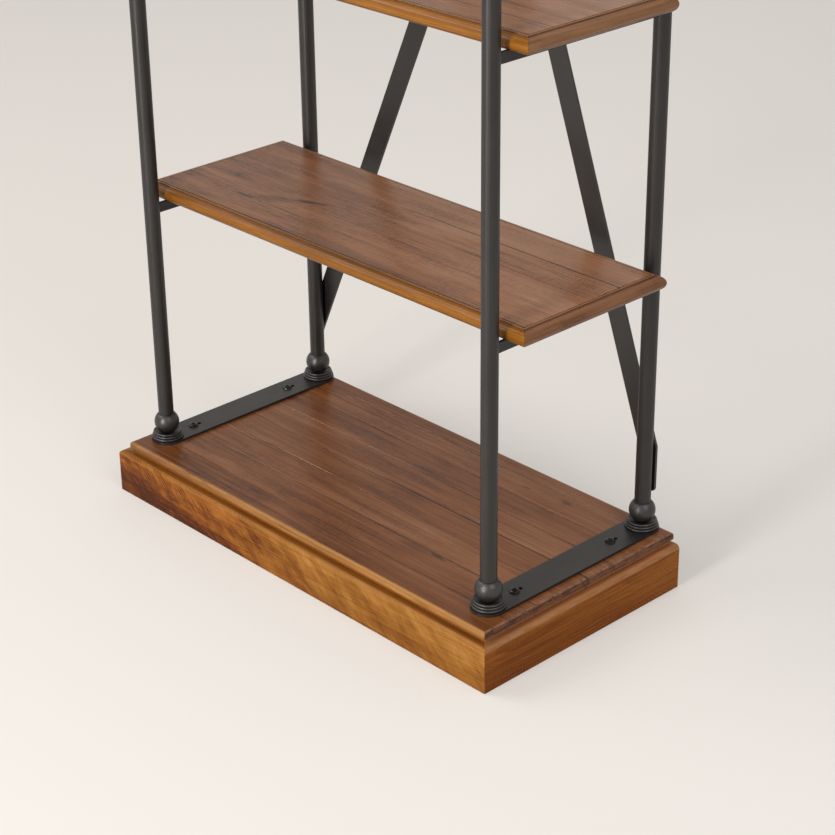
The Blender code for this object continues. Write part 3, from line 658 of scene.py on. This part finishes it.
    def paint_edge_highlight(self, colour, grain, endways, edge_highlight):
        """Colour with a painted highlight: a rounded upper edge painted paler in patches."""
        front_height, end_height, front_colour, end_colour, amount = edge_highlight
        height = self.added(endways, end_height - front_height, front_height)
        down = self.math("DIVIDE", self.math("SUBTRACT", self.high.z, self.z), height)
        patches = self.figure("rubbed patches", grain)
        patches = self.span(patches, *EDGE_HIGHLIGHT_MASK, EDGE_HIGHLIGHT_LEAST * amount, amount)
        share = self.product(self.span(down, *EDGE_HIGHLIGHT_FADE), patches)
        return self.mix(share, colour, self.mix(endways, front_colour, end_colour))

    def paint_recess_light_and_shade(self, colour, endways, recess):
        """Colour of the set-back face under an edge: a painted shade on the front and painted light
        on the ends.
        """
        under = self.span(self.z, *(recess + part for part in RECESS_SOFT))
        under = self.product(under, self.span(self.normal[2], *RECESS_NORMAL))
        return self.mix(under, colour, self.mix(endways, NOSE_RECESS_SHADE, NOSE_END_RECESS_LIGHT))

    def line_at(self, inset, place, widths):
        """A line that runs at one distance from the edge."""
        return self.span(self.math("ABSOLUTE", self.math("SUBTRACT", inset, place)), *widths)


def wood(name, along, seed, box, tones, gloss, rim=None, groove=None, joints=(), planks=(0.5,),
         knots=(), figure=1.0, lines=1.0, chatter=1.0, chatter_fade=None, saw=None, hatch=None,
         heart=None, fall=None, drift=0.0, edge_highlight=None, recess=None):
    """Board with growth rings about a wandering pith, fibres, pores, saw marks, stains and knots.

    along is "x" or "y", the way the grain runs. box is the piece's lowest and highest corner.
    tones gives the top, front and end colours, each from light to darkest, and gloss the specular
    level. rim is how far the front and end colours reach in from the edge of the top; without it
    they end where the surface turns flat. groove is how far in from the edges a worked groove runs.
    joints are (place, dark left, dark right, highlight left, highlight right) of glued seams across
    the grain, the highlight being a painted highlight on the arris beside the seam, and planks the
    tone of each plank. knots are (centre, reach, turn, darkness).
    figure and lines scale the rings' bends and the streaks, chatter the saw marks. chatter_fade is
    (from, to) along the board between which the marks grow. saw is the centre of round saw marks on
    a side face. hatch is (from, to) along the board between which slanting strokes fade on a front.
    heart is two points of a darker band's upper edge there. fall darkens a front or end per metre
    along and up the board, drift a top per metre along it; on the shelves these are a painted shade
    on the upper front and a painted sheen towards the right. edge_highlight is (front height, end
    height, front colour, end colour, amount) of a rounded upper edge painted paler in patches, a
    painted highlight. recess is the height under which an edge is set back; the face below it gets
    a painted shade on the front and painted light on the ends.
    """
    s = Board(name, along, seed, box)
    plank = planks[0]
    if joints:
        plank, seam, arris = s.seams(joints, planks)
    depth = s.math("ADD", s.z, s.added(plank, PLANK_STEPS["depth"], seed))
    grain = s.join(s.u, s.added(plank, PLANK_STEPS["across"], s.v), depth)

    late, marks = s.rings(grain, plank, knots, figure)
    stroke = s.saw_strokes(grain, saw, chatter_fade)
    fibre, stain = (s.waver(kind, grain) for kind in ("fibre", "stain"))
    dash = s.product(s.patches("dash", grain), s.patches("dash patches", grain))
    pores = s.patches("pores", grain)
    shade = s.added(s.math("SUBTRACT", plank, 0.5), PLANK_WEIGHT, MIDDLE_SHADE)
    for part, weight in (
        (stain, STAIN_WEIGHT),
        (s.waver("band", grain), BAND_WEIGHT * lines),
        (s.waver("line", grain), LINE_WEIGHT * lines),
        (late, RING_WEIGHT * lines),
        (fibre, FIBRE_WEIGHT),
        (dash, DASH_WEIGHT),
        (pores, PORE_WEIGHT),
    ):
        shade = s.added(part, weight, shade)

    # shades of the front, of the ends and of the top
    face = shade
    if hatch:
        face, sideward = s.hatching(face, hatch)
    if heart:
        face = s.heartwood(face, heart)
    if fall:
        face = s.slope(face, fall)
    if saw:
        face = s.added(stroke, SAW_FACE_WEIGHT * chatter, face)
    face = s.math("ADD", face, 0.0, clamp=True)
    end = s.end_grain(face, recess)
    shade = s.added(s.u, drift, shade)
    stroke_weight = chatter * (SAW_TOP_WEIGHT if saw else CHATTER_WEIGHT)
    shade = s.math("MULTIPLY_ADD", stroke, stroke_weight, shade, clamp=True)

    # colours, from the front inwards
    flat, endways = s.parts(rim, groove)
    colour = s.mix(endways, s.tint(face, tones["front"]), s.tint(end, tones["end"]))
    if hatch:
        colour = s.mix(s.product(sideward, HATCH_TINT_SHARE), colour, HATCH_TINT, "MULTIPLY")
    # Painted highlight along a rounded upper edge
    if edge_highlight:
        colour = s.paint_edge_highlight(colour, grain, endways, edge_highlight)
    colour = s.mix(flat, colour, s.tint(shade, tones["top"]))
    # Painted shade under the nose on the front, painted light on the ends
    if recess:
        colour = s.paint_recess_light_and_shade(colour, endways, recess)
    # Dark seams and knots, and painted shade on faces that look down, in the groove and in the
    # quirk
    dark_marks_and_shade = [s.product(s.span(s.normal[2], *UNDERSIDE_NORMAL), UNDERSIDE_SHADE)]
    if groove:
        inset = s.least(s.inset_x, s.inset_y) if along == "y" else s.inset_y
        # Painted highlight on the bead beside the groove
        bead = s.line_at(inset, groove - BEAD_INSET, BEAD_WIDTH)
        colour = s.mix(s.product(bead, BEAD_SHARE), colour, BEAD_HIGHLIGHT)
        dark_marks_and_shade.append(s.product(s.line_at(inset, groove, GROOVE_WIDTH), GROOVE_SHADE))
        dark_marks_and_shade.append(s.product(s.line_at(inset, groove - QUIRK_INSET, QUIRK_WIDTH), QUIRK_SHADE))
    if joints:
        dark_marks_and_shade.append(seam)
        # Painted highlight on the arris beside each seam
        colour = s.mix(s.product(arris, flat), colour, SEAM_ARRIS_HIGHLIGHT)
    colour = s.mix(s.greatest(*dark_marks_and_shade, *marks), colour, KNOT_AND_SHADE_COLOUR)
    s.feed(s.shader.inputs["Base Color"], colour)

    worn = s.added(late, WORN_RING_SHARE, fibre)
    worn = s.math("ADD", worn, s.product(stain, WORN_STAIN_SHARE))
    s.feed(s.shader.inputs["Roughness"], s.span(worn, *WORN_RANGE, *WOOD_ROUGHNESS))
    s.shader.inputs["IOR"].default_value = WOOD_IOR
    s.shader.inputs["Specular IOR Level"].default_value = gloss
    relief = s.added(stroke, RELIEF_STROKE * chatter, s.product(fibre, RELIEF_FIBRE))
    relief = s.added(late, RELIEF_RING, relief)
    relief = s.added(s.greatest(pores, dash), RELIEF_PORE, relief)
    s.bump(relief, RELIEF_STRENGTH, RELIEF_DEPTH)
    return s.material


def steel(name, seed, colour=COAT_COLOUR, worn=COAT_WORN,
          roughness=COAT_ROUGHNESS, gloss=COAT_GLOSS):
    """Powder coat: fine orange peel, faint clouds and a few pale rubbed specks."""
    s = Surface(name)
    place = s.vector("ADD", s.place, tuple(seed * part for part in SEED_PLACE))
    cloud, peel, grit = (s.figure("coat " + kind, place) for kind in ("cloud", "peel", "grit"))
    speckle = s.waver("coat speckle", place)
    speckle = s.math("MULTIPLY_ADD", speckle, SPECKLE_WEIGHT, cloud, clamp=True)
    dull, bright = (tuple(share * part for part in colour) for share in COAT_SHADES)
    shade = s.mix(speckle, dull, bright)
    specks = s.product(s.patches("coat specks", place), s.patches("coat speck patches", place))
    s.feed(s.shader.inputs["Base Color"], s.mix(s.product(specks, SPECK_SHARE), shade, worn))
    gritty = s.added(grit, GRIT_SHEEN, cloud)
    s.feed(s.shader.inputs["Roughness"], s.span(gritty, *GRIT_RANGE, *roughness))
    s.shader.inputs["Specular IOR Level"].default_value = gloss
    s.bump(s.added(grit, GRIT_RELIEF, peel), PEBBLE_STRENGTH, PEBBLE_DEPTH)
    return s.material


def paint(node, material):
    """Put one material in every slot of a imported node."""
    mesh = NODES[node].data
    for i in range(max(len(mesh.materials), 1)):
        if i < len(mesh.materials):
            mesh.materials[i] = material
        else:
            mesh.materials.append(material)


def soften(node):
    """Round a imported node's sharp corners a little."""
    bevel = NODES[node].modifiers.new("soft_edges", "BEVEL")
    bevel.width = BAR_EASE
    bevel.segments = BAR_EASE_STEPS
    bevel.limit_method = "ANGLE"
    bevel.angle_limit = BAR_EASE_ANGLE
    bevel.harden_normals = True


def knots_at(height, rows):
    """Knots in a top, from rows of place, half length, half width, turn and darkness."""
    return [
        (Vector((x, y, height)), (length, width, KNOT_THICKNESS), turn, darkness)
        for x, y, length, width, turn, darkness in rows
    ]


# Wood: base top and plinth

BASE_LOW, BASE_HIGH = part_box("base_top")
BASE_DEPTH = BASE_HIGH.y - BASE_LOW.y
# share of the depth, then how dark the seam is on the left and on the right, and how strong its
# painted arris highlight is on the left and on the right
BASE_JOINTS = (
    (0.1255, 0.05, 0.50, 0.30, 0.15),
    (0.2615, 0.10, 0.60, 0.45, 0.10),
    (0.3962, 0.05, 0.40, 1.00, 0.30),
    (0.5269, 0.15, 1.00, 0.60, 0.05),
    (0.6642, 0.15, 0.65, 0.90, 0.30),
    (0.7897, 0.50, 0.45, 0.25, 0.20),
    (0.9231, 0.20, 0.25, 0.60, 0.45),
)
BASE_PLANKS = (0.60, 0.52, 0.40, 0.48, 0.36, 0.52, 0.40, 0.50)
BASE_KNOTS = (
    (0.2039, -0.0923, 0.024, 0.0050, -0.12, 0.80),
    (0.1660, -0.0955, 0.050, 0.018, 0.0, 0.34),
    (0.1523, 0.1411, 0.012, 0.004, 0.2, 0.65),
    (0.2251, 0.1483, 0.017, 0.007, -0.2, 0.65),
    (-0.1644, 0.1679, 0.006, 0.005, 0.0, 0.75),
    (0.0282, -0.0769, 0.005, 0.005, 0.0, 0.50),
    (0.0062, 0.0747, 0.030, 0.0025, 0.0, 0.75),
    (0.0950, 0.0150, 0.060, 0.0050, 0.0, 0.30),
)
NOSE_HEIGHT = 0.0109
paint(
    "base_top",
    wood(
        "base_top_wood",
        along="x",
        seed=3.1,
        box=(BASE_LOW, BASE_HIGH),
        tones={"top": BASE_TOP, "front": NOSE, "end": NOSE_END},
        gloss=0.27,
        rim=0.0050,
        joints=[(BASE_LOW.y + share * BASE_DEPTH, *tones) for share, *tones in BASE_JOINTS],
        planks=BASE_PLANKS,
        knots=knots_at(BASE_HIGH.z, BASE_KNOTS),
        chatter_fade=(0.28, 0.02),
        fall=(-0.45, 0.0),
        edge_highlight=(0.0042, 0.0014, FRONT_EDGE_HIGHLIGHT, NOSE_END_EDGE_HIGHLIGHT, 0.85),
        recess=BASE_HIGH.z - NOSE_HEIGHT,
    ),
)
paint(
    "plinth_front",
    wood(
        "plinth_front_wood",
        along="x",
        seed=11.7,
        box=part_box("plinth_front"),
        tones={"top": SHOULDER, "front": GOLD, "end": RED_BROWN},
        gloss=0.09,
        figure=1.5,
        lines=0.6,
        chatter=0.0,
        hatch=(-0.24, 0.10),
        heart=((-0.40, 0.044), (-0.06, 0.006)),
        fall=(-0.18, -2.4),
        edge_highlight=(0.0075, 0.0075, FRONT_EDGE_HIGHLIGHT, SIDE_EDGE_HIGHLIGHT, 0.6),
    ),
)
SIDE_TONES = {"top": LEDGE_SIDE, "front": RED_BROWN, "end": RED_BROWN}
paint(
    "plinth_rear",
    wood(
        "plinth_rear_wood",
        along="x",
        seed=15.2,
        box=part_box("plinth_rear"),
        tones=SIDE_TONES,
        gloss=0.25,
    ),
)
for i, node in enumerate(("plinth_left", "plinth_right")):
    paint(
        node,
        wood(
            node + "_wood",
            along="y",
            seed=21.3 + 5 * i,
            box=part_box(node),
            tones=SIDE_TONES,
            gloss=0.08,
            lines=0.8,
            chatter=0.8,
            saw=(0.205, 0.078),
            fall=(-0.15, -2.6),
            edge_highlight=(0.0080, 0.0080, SIDE_EDGE_HIGHLIGHT, SIDE_EDGE_HIGHLIGHT, 0.85),
        ),
    )

# Wood: shelves; the lowest has knots, and seams and end tones change from one to the next

FIRST_SHELF_TOP = 0.4945
FIRST_SHELF_KNOTS = (
    (-0.3077, -0.0073, 0.011, 0.0045, 0.5, 0.80),
    (-0.3060, -0.0050, 0.006, 0.0150, 0.3, 0.62),
    (-0.3050, -0.0050, 0.032, 0.0200, 0.4, 0.28),
    (-0.2330, -0.0520, 0.036, 0.0058, 0.10, 0.80),
    (-0.1950, -0.0330, 0.060, 0.0180, 0.45, 0.50),
    (-0.1880, -0.0240, 0.020, 0.0060, 0.30, 0.65),
    (-0.1430, -0.0060, 0.054, 0.0072, 0.38, 0.85),
    (-0.3613, -0.0546, 0.006, 0.0040, 0.0, 0.75),
    # Last row: a long, faint darker band along the front of the top, listed with the knots
    (0.0300, -0.1040, 0.270, 0.0280, 0.0, 0.42),
)
SHELF_TONES = {"top": SHELF_TOP, "front": SHELF_GOLD, "end": SHELF_END}
SHELF_JOINTS = ((0.0745, 0.15, 0.95, 0.30, 0.10), (-0.0610, 0.60, 0.80, 0.20, 0.10))
LIP_TONES = (SHELF_END, SHELF_END_TAN)
LIP_GAP = 0.0003
LIP_GROOVE = 0.0148
PANEL_RIM = LIP_GROOVE - 0.0004
LIP_RIM = LIP_GROOVE + 0.01
for i, node in enumerate(SHELF_PANELS):
    low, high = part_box(node)
    paint(
        node,
        wood(
            node + "_wood",
            along="x",
            seed=31.0 + 7.3 * i,
            box=(low, high),
            tones=SHELF_TONES,
            gloss=0.24,
            rim=PANEL_RIM,
            groove=LIP_GROOVE,
            joints=[SHELF_JOINTS[i % 2]],
            planks=(0.50 + 0.03 * (i % 3), 0.44),
            knots=() if i else knots_at(FIRST_SHELF_TOP, FIRST_SHELF_KNOTS),
            # fall paints the front's upper part darker, a painted shade, and drift paints the top
            # lighter towards the right, a painted sheen
            fall=(-0.20, 3.0),
            drift=-0.30,
        ),
    )
    for j, side in enumerate(("left", "right")):
        lip = node.replace("_panel", "_lip_" + side)
        paint(
            lip,
            wood(
                lip + "_wood",
                along="y",
                seed=61.0 + 3.7 * i + 1.9 * j,
                box=(
                    Vector((-high.x - LIP_GAP, low.y, low.z)),
                    Vector((high.x + LIP_GAP, high.y, high.z)),
                ),
                tones=dict.fromkeys(("top", "front", "end"), LIP_TONES[i % 2]),
                gloss=0.25,
                rim=LIP_RIM,
                groove=LIP_GROOVE,
                chatter=0.25,
                # fall paints the upper part of the lip darker, a painted shade
                fall=(0.0, 10.0),
            ),
        )

# Steel


def arc(centre, radius, start, end, steps):
    """Points of an arc in a turned profile, from one angle to another."""
    angles = [start + (end - start) * i / steps for i in range(steps + 1)]
    return [(centre[0] + radius * math.cos(a), centre[1] + radius * math.sin(a)) for a in angles]


def turned(name, node, middle, profile, facets):
    """Fine-grained turned piece about a vertical axis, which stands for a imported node."""
    bm = bmesh.new()
    rings = []
    for radius, height in profile:
        if radius == 0:
            rings.append([bm.verts.new(middle + Vector((0, 0, height)))])
            continue
        turns = [math.tau * i / facets for i in range(facets)]
        points = [Vector((radius * math.cos(a), radius * math.sin(a), height)) for a in turns]
        rings.append([bm.verts.new(middle + point) for point in points])
    for below, above in zip(rings, rings[1:]):
        for i in range(facets):
            j = (i + 1) % facets
            corners = ((below, i), (below, j), (above, j), (above, i))
            bm.faces.new(dict.fromkeys(ring[at % len(ring)] for ring, at in corners))
    bmesh.ops.recalc_face_normals(bm, faces=bm.faces)
    mesh = bpy.data.meshes.new(name)
    bm.to_mesh(mesh)
    bm.free()
    mesh.shade_smooth()
    mesh.set_sharp_from_angle(angle=SHARP_ANGLE)
    piece = bpy.data.objects.new(name, mesh)
    bpy.context.scene.collection.objects.link(piece)
    seed = sum(map(ord, node)) * LETTER_STEP
    coat = steel(node + "_steel_fine", seed, roughness=TURNED_ROUGHNESS, gloss=TURNED_GLOSS)
    mesh.materials.append(coat)
    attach(piece, "root")
    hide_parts(node)
    return piece


def drill(piece, place, radius, low, high):
    """Cut a small upright blind hole into a piece."""
    bm = bmesh.new()
    bmesh.ops.create_cone(
        bm, cap_ends=True, segments=DRILL_FACETS, radius1=radius, radius2=radius, depth=high - low
    )
    bmesh.ops.translate(bm, verts=bm.verts, vec=(place[0], place[1], (low + high) / 2))
    mesh = bpy.data.meshes.new("drill")
    bm.to_mesh(mesh)
    bm.free()
    bit = bpy.data.objects.new("drill", mesh)
    bpy.context.scene.collection.objects.link(bit)
    hole = piece.modifiers.new("hole", "BOOLEAN")
    hole.operation = "DIFFERENCE"
    hole.solver = "EXACT"
    hole.object = bit
    bpy.context.view_layer.update()
    finished = piece.evaluated_get(bpy.context.evaluated_depsgraph_get())
    drilled = bpy.data.meshes.new_from_object(finished)
    piece.modifiers.clear()
    piece.data = drilled
    drilled.set_sharp_from_angle(angle=SHARP_ANGLE)
    bpy.data.objects.remove(bit)


def ball_profile(radius, rim_height):
    """Ball with an eased rim round the socket of its post, from the pole up."""
    socket = POST_RADIUS + POST_GAP
    rim_angle = math.asin((rim_height - RIM_EASE) / radius)
    rim_radius = math.sqrt(radius**2 - rim_height**2)
    points = arc((0, 0), radius, -math.pi / 2, rim_angle, BALL_STEPS)
    points[0] = (0, -radius)
    return points + [
        (rim_radius - RIM_EASE / 5, rim_height - RIM_EASE / 5),
        (rim_radius - RIM_EASE, rim_height),
        (socket + RIM_EASE / 4, rim_height),
        (socket, rim_height - RIM_EASE / 2),
        (socket, 0),
        (0, 0),
    ]


def flange_profile(radius, height):
    """Three stepped half-round rings that narrow upward to a dish."""
    half = height / (2 * FLANGE_RINGS)
    quarter = math.pi / 2 - RING_TURN
    points = [(0, 0)]
    for ring in range(FLANGE_RINGS):
        centre = (radius - half - ring * FLANGE_STEP, half + 2 * ring * half)
        points += arc(centre, half, -quarter, quarter, RING_STEPS)
    rim_radius = radius - half - (FLANGE_RINGS - 1) * FLANGE_STEP
    depth = height - DISH_FLOOR
    dish = (rim_radius**2 + depth**2) / (2 * depth)
    opening = math.asin(rim_radius / dish)
    hollow = arc((0, DISH_FLOOR + dish), dish, opening - math.pi / 2, -math.pi / 2, DISH_STEPS)
    hollow[-1] = (0, DISH_FLOOR)
    return points + hollow


for corner in ("front_left", "front_right", "rear_left", "rear_right"):
    for kind in ("foot_ball_", "finial_"):
        low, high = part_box(kind + corner)
        radius = (high.x - low.x) / 2
        middle = (low + high) / 2
        upward = kind == "foot_ball_"
        middle.z = low.z + radius if upward else high.z - radius
        rim = high.z - middle.z if upward else middle.z - low.z
        profile = ball_profile(radius, rim)
        if not upward:
            profile = [(across, -height) for across, height in profile]
        ball = turned(kind + corner + "_turned", kind + corner, middle, profile, BALL_FACETS)
        if upward:
            out = math.sqrt(radius**2 - rim**2) + SET_SCREW_RADIUS
            place = [
                middle.x + out * math.cos(SET_SCREW_TURN),
                middle.y + out * math.sin(SET_SCREW_TURN),
            ]
            bottom = middle.z + math.sqrt(radius**2 - out**2) - SET_SCREW_DEPTH
            drill(ball, place, SET_SCREW_RADIUS, bottom, middle.z + radius)
    low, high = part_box("foot_flange_" + corner)
    middle = (low + high) / 2
    middle.z = low.z
    turned(
        "foot_flange_" + corner + "_turned",
        "foot_flange_" + corner,
        middle,
        flange_profile((high.x - low.x) / 2, high.z - low.z),
        FLANGE_FACETS,
    )

for i, node in enumerate(sorted(NODES)):
    coat = (node + "_steel", i * SEED_STEP)
    if node.startswith("floor_screw"):
        paint(node, steel(*coat, SCREW_COLOUR, COAT_COLOUR, SCREW_ROUGHNESS, SCREW_GLOSS))
    elif node.startswith(("post", "foot", "finial", "floor_bar", "brace")) or "_bar_" in node:
        # Painted light: the right brace is made brighter with a higher specular level
        gloss = RIGHT_BRACE_GLOSS if node == "brace_right" else COAT_GLOSS
        paint(node, steel(*coat, gloss=gloss))
    if node.startswith(("floor_bar", "brace_left", "brace_right")) or "_bar_" in node:
        soften(node)

# Floor and surroundings


def studio_floor():
    """Floor in the backdrop's tones, which glows where it is looked at or mirrored."""
    mesh = bpy.data.meshes.new("studio_floor")
    signs = ((-1, -1), (1, -1), (1, 1), (-1, 1))
    corners = [(x * FLOOR_REACH, y * FLOOR_REACH, 0) for x, y in signs]
    mesh.from_pydata(corners, [], [(0, 1, 2, 3)])
    floor = bpy.data.objects.new("studio_floor", mesh)
    bpy.context.scene.collection.objects.link(floor)
    floor.location.z = -FLOOR_DROP
    s = Surface("studio_floor")
    s.feed(s.shader.inputs["Base Color"], FLOOR_COLOUR)
    s.shader.inputs["Roughness"].default_value = FLOOR_ROUGHNESS
    s.shader.inputs["Specular IOR Level"].default_value = FLOOR_GLOSS
    far_off = s.span(s.vector("LENGTH", s.place), *FLOOR_FADE)
    s.feed(s.shader.inputs["Emission Color"], s.mix(far_off, FLOOR_GLOW, FAR_FLOOR_GLOW))
    ray = s.add("ShaderNodeLightPath")
    shown = s.greatest(ray.outputs["Is Camera Ray"], ray.outputs["Is Glossy Ray"])
    s.feed(s.shader.inputs["Emission Strength"], shown)
    mesh.materials.append(s.material)


def surroundings(seen, light, strength):
    """One world: a pale backdrop where it is looked at or mirrored, softer light elsewhere."""
    world = bpy.data.worlds.new("studio")
    world.use_nodes = True
    tree = world.node_tree
    lit = tree.nodes["Background"]
    shown = tree.nodes.new("ShaderNodeBackground")
    for background, colour, power in ((lit, light, strength), (shown, seen, 1.0)):
        background.inputs["Color"].default_value = (*colour, 1.0)
        background.inputs["Strength"].default_value = power
    path = tree.nodes.new("ShaderNodeLightPath")
    looked_at = path.outputs["Is Camera Ray"]
    for ray in ("Is Glossy Ray", "Is Transmission Ray"):
        either = tree.nodes.new("ShaderNodeMath")
        either.operation = "MAXIMUM"
        tree.links.new(looked_at, either.inputs[0])
        tree.links.new(path.outputs[ray], either.inputs[1])
        looked_at = either.outputs[0]
    choice = tree.nodes.new("ShaderNodeMixShader")
    for output, socket in zip((looked_at, lit.outputs[0], shown.outputs[0]), choice.inputs):
        tree.links.new(output, socket)
    tree.links.new(choice.outputs[0], tree.nodes["World Output"].inputs["Surface"])
    bpy.context.scene.world = world


def area_light(name, place, target, size, power, colour, spread):
    """A rectangular soft box, (width, height), that points at its target within its spread."""
    data = bpy.data.lights.new(name, "AREA")
    data.shape = "RECTANGLE"
    data.size, data.size_y = size
    data.energy = power
    data.color = colour
    data.spread = math.radians(spread)
    lamp = bpy.data.objects.new(name, data)
    bpy.context.scene.collection.objects.link(lamp)
    lamp.location = place
    lamp.rotation_euler = (Vector(target) - Vector(place)).to_track_quat("-Z", "Y").to_euler()


def photograph_camera():
    """Camera with the photograph's place, angle and lens."""
    data = bpy.data.cameras.new("camera")
    data.sensor_width = SENSOR_WIDTH
    data.lens = FOCAL_LENGTH
    data.clip_end = FARTHEST_SEEN
    camera = bpy.data.objects.new("camera", data)
    bpy.context.scene.collection.objects.link(camera)
    flat = math.cos(CAMERA_ELEVATION)
    back = Vector((
        math.sin(CAMERA_AZIMUTH) * flat,
        -math.cos(CAMERA_AZIMUTH) * flat,
        math.sin(CAMERA_ELEVATION),
    ))
    level = (-back).cross(Vector((0, 0, 1))).normalized()
    upright = level.cross(-back)
    right = math.cos(CAMERA_ROLL) * level + math.sin(CAMERA_ROLL) * upright
    up = math.cos(CAMERA_ROLL) * upright - math.sin(CAMERA_ROLL) * level
    turn = Matrix((right, up, back)).transposed().to_4x4()
    camera.matrix_world = Matrix.Translation(CAMERA_PLACE) @ turn
    bpy.context.scene.camera = camera


studio_floor()
surroundings(BACKDROP, SKY, SKY_STRENGTH)
for lamp in LAMPS:
    area_light(*lamp)
photograph_camera()
bpy.context.scene.view_settings.view_transform = "Standard"
